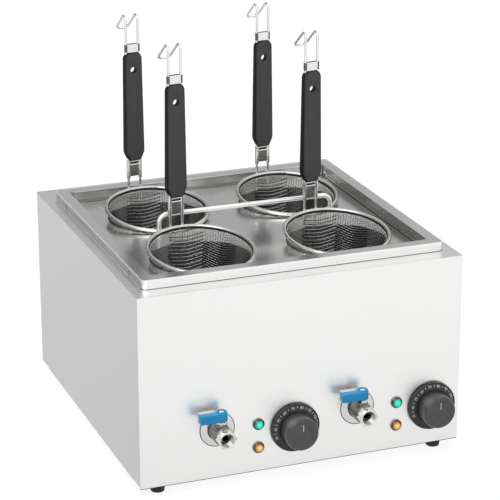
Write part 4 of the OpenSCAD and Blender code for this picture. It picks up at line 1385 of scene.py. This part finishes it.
@dataclass
class Tap:
    """Ball-valve drain tap: dished disc, turned barrel, six-sided outlet, stem boss and dipped lever.

    The sizes are in millimetres, in a frame on the panel, and for the lever in an upright frame on the stem.
    Tables of steps are told by their comments.
    """

    side: Side
    # The disc, as steps in from its edge and heights, and the dark rings of painted shade round it and at the
    # barrel's foot.
    disc: float = 23.0
    disc_bore: float = 10.35
    disc_steps: tuple[Pair, ...] = ((0.0, 0.0), (0.0, 0.6), (0.5, 0.8), (2.6, 0.95), (5.1, 1.5))
    disc_flat: Pair = (15.5, 1.95)
    ring: float = 0.9
    ring_height: float = 0.7
    ring_cut: Pair = (0.3, 0.2)
    ring_gap: float = 0.02
    foot_ring: float = 0.9
    foot_cut: Pair = (0.4, 0.4)
    foot_gap: float = 0.05
    # The barrel, with the rings of the tool, and the boss round the stem.
    barrel: float = 12.5
    barrel_foot: float = 2.0
    barrel_end: float = 24.5
    barrel_wall: float = 3.6
    barrel_edge: float = 0.4
    barrel_neck: Pair = (2.6, 0.2)
    tool_start: float = 3.0
    tool_stop: float = 1.2
    tool_pitch: float = 1.3
    tool_depth: float = 0.22
    tool_width: float = 0.8
    boss: float = 7.0
    boss_bore: float = 3.1
    boss_low: float = 6.0
    boss_top: float = 14.0
    boss_edge: float = 0.5
    # The outlet: its thread in a liner, and its hexagon, as steps out from the flats and up from its ends.
    outlet_start: float = 27.5
    outlet_end: float = 37.5
    outlet_flats: float = 22.0
    outlet_steps: int = 96
    outlet_hole: float = 5.0
    outlet_seat: float = 0.5
    top_steps: tuple[Pair, ...] = ((-0.3, 0.0), (0.25, -0.5))
    foot_steps: tuple[Pair, ...] = ((0.0, 0.2), (-2.0, 0.0))
    corner_cuts: Pair = (1.2, 1.6)
    bore: float = 7.5
    bore_end: float = 28.0
    mouth: Pair = (0.9, 1.2)
    mouth_sunk: float = 0.25
    passage: float = 4.4
    passage_wall: float = 0.5
    passage_run: float = 3.0
    liner: float = 1.3
    liner_back: float = 0.4
    liner_gap: float = 0.05
    liner_lip: Pair = (0.3, 0.2)
    thread_lead: float = 0.6
    thread_stop: float = 1.6
    thread_pitch: float = 1.9
    thread_depth: float = 0.85
    thread_lean: float = 0.4
    # The lever with its steel arm, its cap as radii and heights above the lever, and its screw.
    lever_low: float = 18.0
    lever_top: float = 30.0
    lever_length: float = 29.0
    lever_half: float = 6.5
    lever_round: float = 2.5
    lever_edge: float = 1.4
    hub: float = 7.5
    arm: float = 1.0
    arm_short: float = 4.0
    arm_ends: Pair = (0.7, 0.3)
    arm_round: float = 0.3
    fold: float = 0.7
    fold_short: float = 1.0
    fold_in: float = 0.2
    fold_sunk: float = 0.1
    fold_round: float = 0.25
    cap: tuple[Pair, ...] = ((4.3, -0.8), (6.3, -0.8), (6.6, 0.4), (6.0, 1.3), (5.0, 1.5), (4.4, 1.0))
    screw: float = 3.6
    screw_rise: float = 1.9
    screw_sunk: float = 0.4
    screw_dome: float = 4.4
    screw_dome_drop: float = 2.6
    screw_slot: Point = (9.0, 0.9, 2.0)
    screw_slot_rise: float = 0.9

    @property
    def root(self) -> Matrix:
        """Frame of the tap on the front panel."""
        ball = middle_of(f"valve_ball_{self.side.value}")
        return on_panel(ball.x, ball.z)

    @property
    def stem_frame(self) -> Matrix:
        """Upright frame in the middle of the ball."""
        return Matrix.Translation(middle_of(f"valve_ball_{self.side.value}"))

    def add_fixed(self, piece: str, bm: BMesh, place: Matrix, finish: Finish) -> None:
        """Make a piece that stands for the valve's body.

        Args:
            piece: kind of piece.
            bm: its model.
            place: frame of the model.
            finish: its finish.
        """
        name = self.side.value
        make_piece(f"{piece}_{name}", bm, place, finish, ROOT_BODY, [f"valve_body_{name}"])

    def add_turning(self, piece: str, bm: BMesh, finish: Finish) -> None:
        """Make a piece that stands for the lever and turns with it.

        Args:
            piece: kind of piece.
            bm: its model, on the stem.
            finish: its finish.
        """
        name = self.side.value
        lever = [f"tap_lever_{name}"]
        make_piece(f"{piece}_{name}", bm, self.stem_frame, finish, f"tap_{name}", lever)

    def add_shade_ring(self, piece: str, radii: Pair, heights: Pair, cut: Pair) -> None:
        """Make a dark ring of painted shade round the tap.

        Args:
            piece: kind of ring.
            radii: its inner and outer radius.
            heights: its lower and upper end.
            cut: width and height of its cut edge.
        """
        (inner, outer), (low, high) = radii, heights
        section = [(inner, low), (outer, low), (outer, high - cut[1]), (outer - cut[0], high), (inner, high)]
        bm = spun([*section, section[0]], 80)
        make_piece(f"{piece}_{self.side.value}", bm, self.root, Finish.SHADE_BEAD, ROOT_BODY)

    def build_disc(self) -> None:
        """Press the dished cover disc, with a dark ring of painted shade round it and one at the barrel's
        foot.
        """
        edge, flat = self.disc - self.ring, self.disc_flat
        slope = [(edge - inset, height) for inset, height in self.disc_steps]
        hole = [(self.disc_bore, flat[1]), (self.disc_bore, 0.0)]
        bm = spun([hole[1], *slope, flat, *hole], 80)
        name = f"cover_disc_{self.side.value}"
        make_piece(name, bm, self.root, Finish.DISC, ROOT_BODY, ["tap_discs"])
        self.add_shade_ring("disc_shade_ring", (edge + self.ring_gap, self.disc), (0.0, self.ring_height), self.ring_cut)
        foot, low = self.barrel + self.foot_gap, self.barrel_foot
        self.add_shade_ring("foot_shade_ring", (foot, foot + self.foot_ring), (low, low + self.foot_ring), self.foot_cut)

    def build_barrel(self) -> None:
        """Turn the barrel, with the fine rings that the tool left, and the boss round the stem."""
        radius, low, edge = self.barrel, self.barrel_foot, self.barrel_edge
        inner = radius - self.barrel_wall
        rings = []
        for at in spaced(self.tool_start, self.barrel_end - self.tool_stop, self.tool_pitch):
            root = (radius - self.tool_depth, at + self.tool_width / 2)
            rings += [(radius, at), root, (radius, at + self.tool_width)]
        neck = (radius - self.barrel_neck[0], self.outlet_start - self.barrel_neck[1])
        profile = [(inner, low), (radius - edge, low), (radius, low + edge), *rings]
        profile += [(radius - edge, self.barrel_end), neck, (inner, self.outlet_start), (inner, low)]
        self.add_fixed("barrel", spun(profile, 64), self.root, Finish.BARREL)
        hole, low, top, edge = self.boss_bore, self.boss_low, self.boss_top, self.boss_edge
        profile = [(hole, low), (self.boss, low), (self.boss, top - edge), (self.boss - edge, top)]
        profile += [(hole, top), (hole, low)]
        self.add_fixed("stem_boss", spun(profile, 48), self.stem_frame, Finish.BARREL)

    def outlet_loop(self, most: float, height: float) -> list[Point]:
        """Lay out a loop round the outlet: its hexagon, cut off at a largest radius.

        Args:
            most: largest radius, which gives a circle up to half the flats.
            height: height of the loop.

        Returns:
            The points of the loop.
        """
        points = []
        for k in range(self.outlet_steps):
            angle = 2 * math.pi * k / self.outlet_steps
            side = self.outlet_flats / 2 / math.cos(angle % (math.pi / 3) - math.pi / 6)
            radius = min(side, most)
            points.append((radius * math.cos(angle), radius * math.sin(angle), height))
        return points

    def build_outlet(self) -> None:
        """Form the outlet: a hexagon with turned corners round a threaded bore that meets the passage."""
        start, end, bore, floor = self.outlet_start, self.outlet_end, self.bore, self.bore_end
        liner, back = bore + self.liner, floor - self.passage_run
        turns = []
        for at in spaced(floor + self.thread_lead, end - self.thread_stop, self.thread_pitch):
            turns += [(bore, at), (bore + self.thread_depth, at + self.thread_pitch * self.thread_lean)]
        brim, shelf = end - self.mouth_sunk, floor - self.liner_back
        outside = self.passage + self.passage_wall
        profile = [(self.passage, back), (self.passage, floor), (bore, floor), *turns]
        profile += [(bore, end - self.mouth[1]), (bore + self.mouth[0], brim), (liner, brim), (liner, shelf)]
        profile += [(outside, shelf), (outside, back), (self.passage, back)]
        thread = bridged([self.outlet_loop(*step) for step in profile])
        self.add_fixed("outlet_thread", thread, self.root, Finish.BORE)
        half = self.outlet_flats / 2
        corner = half / math.cos(math.pi / 6)
        hole, seat = self.outlet_hole, floor - self.outlet_seat
        wall, lip = liner + self.liner_gap, self.liner_lip
        steps = [(hole, start), (hole, seat), (wall, seat), (wall, end - lip[1]), (liner + lip[0], end)]
        steps += [(half + out, end + up) for out, up in self.top_steps]
        steps += [(corner, end - self.corner_cuts[1]), (corner, start + self.corner_cuts[0])]
        steps += [(half + out, start + up) for out, up in self.foot_steps]
        hexagon = bridged([self.outlet_loop(*step) for step in [*steps, steps[0]]])
        self.add_fixed("outlet", hexagon, self.root, Finish.NICKEL)

    def build_arm(self) -> None:
        """Cut the steel arm behind the lever, and fold it over the lever's top."""
        length, half, top = self.lever_length, self.lever_half, self.lever_top
        size = (length + self.hub - self.arm_short, self.arm, top - self.lever_low - sum(self.arm_ends))
        foot = ((self.hub - length) / 2, half + self.arm / 2, self.lever_low + self.arm_ends[0])
        bm = slab(size, foot)
        round_edges(bm, bm.edges, self.arm_round, 2)
        self.add_turning("steel_arm", bm, Finish.ARM)
        foot = (-(length + self.hub) / 2 + self.fold_in, half / 2 + self.arm, top - self.fold_sunk)
        bm = slab((length - self.hub - self.fold_short, half, self.fold), foot)
        round_edges(bm, bm.edges, self.fold_round, 2)
        self.add_turning("arm_fold", bm, Finish.ARM)

    def build_lever(self) -> None:
        """Dip the lever: a deep arm and a round hub with a sunk screw."""
        meet = math.degrees(math.asin(self.lever_half / self.hub))
        turn, top = self.lever_round, self.lever_top
        end, side = turn - self.lever_length, self.lever_half - turn
        outline = arc((0.0, 0.0), self.hub, meet - 180, 180 - meet, 40)
        outline += arc((end, side), turn, 90, 180, 6) + arc((end, -side), turn, 180, 270, 6)
        bm = prism(outline, self.lever_low, top)
        flat = [f for f in bm.faces if abs(f.normal.z) > 0.9]
        round_edges(bm, list({e for f in flat for e in f.edges}), self.lever_edge, 5)
        smooth_below(bm, 30)
        self.add_turning("dipped_tap_lever", bm, Finish.LEVER)
        self.build_arm()
        cap = [(radius, top + rise) for radius, rise in self.cap]
        self.add_turning("hub_cap", spun([*cap, cap[0]], 48), Finish.LEVER)
        low = top - self.screw_sunk
        dome = arc((0.0, top - self.screw_dome_drop), self.screw_dome, 84, 35, 6)
        head = spun([(0.0, top + self.screw_rise), *dome, (self.screw, low), (0.0, low)], 40)
        bm = cut_out(head, slab(self.screw_slot, (0.0, 0.0, top + self.screw_slot_rise)))
        smooth_below(bm, 30)
        self.add_turning("hub_screw", bm, Finish.NICKEL)

    def build(self, nodes: dict[str, Object]) -> None:
        """Build the tap's pieces and dress its inner solids.

        Args:
            nodes: all solids by name.
        """
        self.build_disc()
        self.build_barrel()
        self.build_outlet()
        self.build_lever()
        name = self.side.value
        dress(nodes, Finish.NICKEL, f"valve_stem_{name}", f"valve_ball_{name}")


@dataclass
class Dial:
    """Thermostat knob: round grip on a conical skirt that carries printed numbers.

    The sizes are in millimetres, in a frame on the panel.
    """

    side: Side
    # The skirt.
    back: float = 2.5
    bore: float = 3.2
    skirt: float = 32.0
    skirt_rim: float = 5.0
    skirt_round: float = 0.7
    skirt_edge: float = 0.4
    skirt_foot: float = 6.85
    # The grip, let into the skirt, and its dished face with two rings.
    grip: float = 22.2
    grip_gap: float = 0.8
    grip_draft: float = 0.7
    recess: float = 1.3
    recess_gap: float = 0.05
    bore_top: float = 20.0
    face: float = 30.0
    face_edge: float = 0.12
    dish: float = 0.5
    edge: float = 4.0
    ring_shares: Pair = (0.72, 0.44)
    ring_half: float = 0.45
    ring_depth: float = 0.3
    # The print.
    first: int = 30
    last: int = 110
    step: int = 10
    start_angle: float = 200.0
    step_angle: float = 25.0
    number_radius: float = 27.6
    number_height: float = 5.0
    ink: float = 0.04
    ink_lift: float = 0.06
    tick_out: float = 0.6
    tick: Pair = (0.6, 3.0)
    pointer: Pair = (1.1, 9.0)
    pointer_at: float = 9.5
    pointer_drop: float = 0.22

    @property
    def body(self) -> str:
        """Name of the dial's body."""
        return f"dial_{self.side.value}"

    @property
    def root(self) -> Matrix:
        """Frame of the dial on the front panel."""
        knob = middle_of(f"knob_{self.side.value}")
        return on_panel(knob.x, knob.z)

    @property
    def slope(self) -> float:
        """Slope of the skirt's cone, in radians."""
        run = self.skirt - self.skirt_round - self.grip - self.grip_gap
        return math.atan2(self.skirt_foot - self.skirt_rim, run)

    def on_skirt(self, angle: float, radius: float) -> Matrix:
        """Find a frame on the skirt: +Z leaves the cone and +Y runs outwards.

        Args:
            angle: angle round the dial, in degrees from the right.
            radius: distance from the axis, in millimetres.

        Returns:
            The frame, in millimetres.
        """
        rise = (self.skirt - self.skirt_round - radius) * math.tan(self.slope)
        turn = Matrix.Rotation(math.radians(angle - 90), 4, "Z")
        place = Matrix.Translation((0, radius, self.skirt_rim + rise + self.ink_lift))
        return turn @ place @ Matrix.Rotation(-self.slope, 4, "X")

    def build_knob(self) -> None:
        """Mould the knob: a skirt, and a grip with two fine rings turned into its face."""
        bottom, turn, grip = self.skirt_foot - self.recess, self.skirt_round, self.grip
        well = grip + self.grip_gap
        skirt = [(self.bore, self.back), (self.skirt - self.skirt_edge, self.back)]
        skirt += [(self.skirt, self.back + self.skirt_edge)]
        skirt += arc((self.skirt - turn, self.skirt_rim - turn), turn, 0, 90, 5)
        skirt += [(well, self.skirt_foot), (well - self.recess_gap, bottom), (self.bore, bottom), skirt[0]]
        seat = bottom + self.recess_gap
        middle = (grip - self.grip_draft - self.edge, self.face - self.edge)
        stem = [(0.0, self.bore_top), (self.bore, self.bore_top), (self.bore, seat), (grip, seat)]
        stem += [(grip, self.skirt_foot + self.skirt_edge), *arc(middle, self.edge, 0, 84, 10)]
        for share in self.ring_shares:
            at, half = grip * share, self.ring_half
            level = self.face - self.face_edge - (self.dish - self.face_edge) * (1 - share)
            stem += [(at + half, level), (at, level - self.ring_depth), (at - half, level)]
        stem.append((0.0, self.face - self.dish))
        name = f"knob_{self.side.value}"
        for piece, profile, finish in (("skirt", skirt, Finish.SKIRT), ("grip", stem, Finish.KNOB)):
            bm = spun(profile, 96, 45)
            make_piece(f"{piece}_of_{name}", bm, self.root, finish, self.body, [name])

    def build_print(self) -> None:
        """Print the numbers, the ticks between them and a pointer line."""
        bm = bmesh.new()
        for k, number in enumerate(range(self.first, self.last + 1, self.step)):
            angle = self.start_angle - k * self.step_angle
            self.add_number(bm, str(number), self.on_skirt(angle, self.number_radius))
            between = self.on_skirt(angle - self.step_angle / 2, self.number_radius + self.tick_out)
            self.add_bar(bm, between, self.tick)
        top = Matrix.Translation((0, self.pointer_at, self.face - self.pointer_drop))
        self.add_bar(bm, top, self.pointer)
        make_piece(f"dial_print_{self.side.value}", bm, self.root, Finish.INK, self.body)

    def add_number(self, bm: BMesh, words: str, place: Matrix) -> None:
        """Add a number to the print, centred on a frame.

        Args:
            bm: the print.
            words: the number.
            place: frame of its middle, in millimetres.
        """
        curve = bpy.data.curves.new("number", "FONT")
        curve.body = words
        curve.size = self.number_height
        curve.align_x = "CENTER"
        curve.align_y = "CENTER"
        curve.extrude = self.ink / 2
        add_curve(bm, curve, place)

    def add_bar(self, bm: BMesh, place: Matrix, size: Pair) -> None:
        """Add a thin bar to the print.

        Args:
            bm: the print.
            place: frame of its middle, in millimetres.
            size: its sizes across and along the frame's Y.
        """
        bmesh.ops.create_cube(bm, size=1.0, matrix=place @ Matrix.Diagonal((*size, self.ink, 1.0)))

    def build(self, nodes: dict[str, Object]) -> None:
        """Build the dial's pieces and dress its inner solids.

        Args:
            nodes: all solids by name.
        """
        self.build_knob()
        self.build_print()
        dress(nodes, Finish.NICKEL, f"thermostat_shaft_{self.side.value}")
        dress(nodes, Finish.WHITE, f"thermostat_{self.side.value}")


@dataclass
class Lamps:
    """Domed lenses of one colour, one beside each tap.

    The sizes are in millimetres, in a frame on the panel.
    """

    node: str
    slot: str
    finish: Finish
    radius: float = 7.5
    seat: float = 0.8
    skirt: float = 1.2
    rise: float = 3.75
    shoulder: Pair = (0.5, 0.1)

    def build(self) -> None:
        """Mould the two lenses."""
        low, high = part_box(self.node)
        dome = (self.radius**2 + self.rise**2) / (2 * self.rise)
        spread = math.degrees(math.asin((self.radius - self.shoulder[0]) / dome))
        foot = self.seat + self.skirt
        crown = arc((0.0, foot + self.rise - dome), dome, 90, 90 - spread, 14)
        profile = [(max(r, 0.0), z) for r, z in crown]
        profile += [(self.radius, foot - self.shoulder[1]), (self.radius, self.seat), (0.0, self.seat)]
        for x, name in ((low.x + self.radius * MM, "left"), (high.x - self.radius * MM, "right")):
            bm = spun(profile, 56)
            depth = bm.verts.layers.float.new("depth")
            for vert in bm.verts:
                vert[depth] = math.hypot(vert.co.x, vert.co.y) / self.radius
            place = on_panel(x, (low.z + high.z) / 2)
            make_piece(f"{self.slot}_{name}", bm, place, self.finish, ROOT_BODY, [self.node])


@dataclass
class Fittings:
    """Small shared pieces of the taps and lamps."""

    nut_edge_mm: float = 0.3

    def build(self, nodes: dict[str, Object]) -> None:
        """Dress the shared solids and build the lenses.

        Args:
            nodes: all solids by name.
        """
        dress(nodes, Finish.NICKEL, "drain_nipples")
        dress(nodes, Finish.NICKEL, "gland_nuts", edge_mm=self.nut_edge_mm)
        dress(nodes, Finish.WHITE, "lamp_holders")
        Lamps("green_lenses", "green_lens", Finish.GREEN).build()
        Lamps("amber_lenses", "amber_lens", Finish.AMBER).build()


@dataclass(frozen=True)
class Fade:
    """Change of brightness along one axis of the surroundings, from a start to an end."""

    axis: str
    start: float
    end: float
    first: float
    last: float


@dataclass(frozen=True)
class SoftBox:
    """Round soft light that points at the object: place and size in metres, power in watts."""

    name: str
    at: Point
    size: float
    power: float


@dataclass
class Studio:
    """Camera, floor, soft light and white surroundings."""

    camera_at: Point = (-0.9215, -2.4330, 1.1496)
    yaw: float = 20.96
    pitch: float = 19.55
    lens: float = 151.1
    sensor: float = 36.0
    # What metal sees of the surroundings: dimmer behind, overhead, and at the rear of the left flank.
    depth: Fade = Fade("Y", -0.5, 0.85, 1.04, 0.40)
    height: Fade = Fade("Z", 0.4, 1.0, 1.0, 0.6)
    flank: Fade = Fade("X", -0.4, 0.1, 0.5, 1.0)
    rear: Fade = Fade("Y", 0.0, 0.6, 0.0, 1.0)
    soft_level: float = 0.75
    # The floor, and its brightness for metal at places along Y.
    floor_size: float = 14.0
    floor_levels: tuple[Pair, ...] = ((-0.95, 0.98), (-0.5, 0.94), (-0.24, 0.85), (-0.19, 0.59), (0.9, 0.65))
    floor_gain: float = 1.05
    floor_glow: float = 0.86
    floor_tone: float = 0.17
    lights: tuple[SoftBox, ...] = (
        SoftBox("key", (-1.6, -2.2, 2.4), 3.2, 42.0),
        SoftBox("top", (0.6, 0.5, 2.6), 4.2, 24.0),
    )
    aim: Point = (0.0, 0.0, 0.2)

    def build(self) -> None:
        """Set up everything that isn't part of the object."""
        scene = bpy.context.scene
        scene.view_settings.view_transform = "Standard"
        self.build_camera(scene)
        self.build_world(scene)
        self.build_floor(scene)
        self.build_lights(scene)

    def build_camera(self, scene: Scene) -> None:
        """Place the camera at the photographed view.

        Args:
            scene: scene that gets the camera.
        """
        data = bpy.data.cameras.new("camera")
        data.lens = self.lens
        data.sensor_width = self.sensor
        camera = bpy.data.objects.new("camera", data)
        turn = Matrix.Rotation(math.radians(-self.yaw), 4, "Z")
        nod = Matrix.Rotation(math.radians(90 - self.pitch), 4, "X")
        camera.matrix_world = Matrix.Translation(self.camera_at) @ turn @ nod
        scene.collection.objects.link(camera)
        scene.camera = camera

    def build_world(self, scene: Scene) -> None:
        """Surround the object with white; what metal reflects of it fades as the studio's fields say.

        Args:
            scene: scene that gets the world.
        """
        scene.world = bpy.data.worlds.new("studio")
        tree = empty_tree(scene.world)
        path = add_node(tree, "LightPath").outputs
        around = add_node(tree, "TexCoord").outputs["Generated"]
        split = add_node(tree, "SeparateXYZ", links={0: around})
        fades = []
        for fade in (self.depth, self.height, self.flank, self.rear):
            span = {"From Min": fade.start, "From Max": fade.end, "To Min": fade.first, "To Max": fade.last}
            fades.append(add_node(tree, "MapRange", span, {"Value": split.outputs[fade.axis]}))
        depth, height, flank, rear = fades
        corner = add_node(tree, "Mix", {"A": 1.0}, {"Factor": rear, "B": flank})
        behind = add_node(tree, "Math", links={0: depth, 1: corner}, operation="MULTIPLY")
        level = add_node(tree, "Math", links={0: behind, 1: height}, operation="MULTIPLY")
        white = linear("#FFFFFF")
        soft = add_node(tree, "Background", {"Color": white, "Strength": self.soft_level})
        seen = add_node(tree, "Background", {"Color": white}, {"Strength": level})
        plain = add_node(tree, "Background", {"Color": white, "Strength": 1.0})
        rays = {0: path["Is Glossy Ray"], 1: path["Is Transmission Ray"]}
        shine = add_node(tree, "Math", links=rays, operation="MAXIMUM")
        lit = add_node(tree, "MixShader", links={0: shine, 1: soft, 2: seen})
        final = add_node(tree, "MixShader", links={0: path["Is Camera Ray"], 1: lit, 2: plain})
        add_node(tree, "OutputWorld", links={"Surface": final})

    def floor_material(self) -> Material:
        """Build the floor's finish: it keeps shadows, and metal sees it as brighter in front than behind.

        Returns:
            The material.
        """
        material = bpy.data.materials.new("pale floor")
        tree = empty_tree(material)
        path = add_node(tree, "LightPath").outputs
        rays = {0: path["Is Glossy Ray"], 1: path["Is Transmission Ray"]}
        shine = add_node(tree, "Math", links=rays, operation="MAXIMUM")
        here = add_node(tree, "TexCoord").outputs["Object"]
        split = add_node(tree, "SeparateXYZ", links={0: here})
        span = {"From Min": -1.0, "From Max": 1.0}
        along = add_node(tree, "MapRange", span, {"Value": split.outputs["Y"]})
        ramp = add_node(tree, "ValToRGB", links={"Fac": along})
        set_stops(ramp, [((at + 1) / 2, (level, level, level, 1.0)) for at, level in self.floor_levels])
        seen = add_node(tree, "Emission", {"Strength": self.floor_gain}, {"Color": ramp})
        camera = {0: path["Is Camera Ray"]}
        glow_level = add_node(tree, "Math", {1: self.floor_glow}, camera, operation="MULTIPLY")
        glow = add_node(tree, "Emission", links={"Strength": glow_level})
        matt = add_node(tree, "BsdfDiffuse", {"Color": (self.floor_tone,) * 3 + (1.0,)})
        both = add_node(tree, "AddShader", links={0: glow, 1: matt})
        final = add_node(tree, "MixShader", links={0: shine, 1: both, 2: seen})
        add_node(tree, "OutputMaterial", links={"Surface": final})
        return material

    def build_floor(self, scene: Scene) -> None:
        """Lay the pale floor.

        Args:
            scene: scene that gets the floor.
        """
        bm = bmesh.new()
        bmesh.ops.create_grid(bm, x_segments=1, y_segments=1, size=self.floor_size / 2)
        mesh = bpy.data.meshes.new("floor")
        bm.to_mesh(mesh)
        bm.free()
        mesh.materials.append(self.floor_material())
        floor = bpy.data.objects.new("floor", mesh)
        scene.collection.objects.link(floor)

    def build_lights(self, scene: Scene) -> None:
        """Hang the soft boxes: a key in front at the left, and one above.

        Args:
            scene: scene that gets the lights.
        """
        for box in self.lights:
            data = bpy.data.lights.new(box.name, "AREA")
            data.shape = "DISK"
            data.size = box.size
            data.energy = box.power
            lamp = bpy.data.objects.new(box.name, data)
            aim = (Vector(self.aim) - Vector(box.at)).to_track_quat("-Z", "Y")
            lamp.matrix_world = Matrix.Translation(box.at) @ aim.to_matrix().to_4x4()
            scene.collection.objects.link(lamp)


def main() -> None:
    """Build the cooker's looks."""
    logging.basicConfig(level=logging.INFO, format="%(name)s: %(message)s")
    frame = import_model()
    nodes = frame["nodes"]
    Studio().build()
    Casing().build(nodes)
    TankFrame().build(nodes)
    for place in Place:
        Basket(place).build()
    for side in Side:
        Tap(side).build(nodes)
        Dial(side).build(nodes)
    Fittings().build(nodes)


if __name__ == "__main__":
    main()
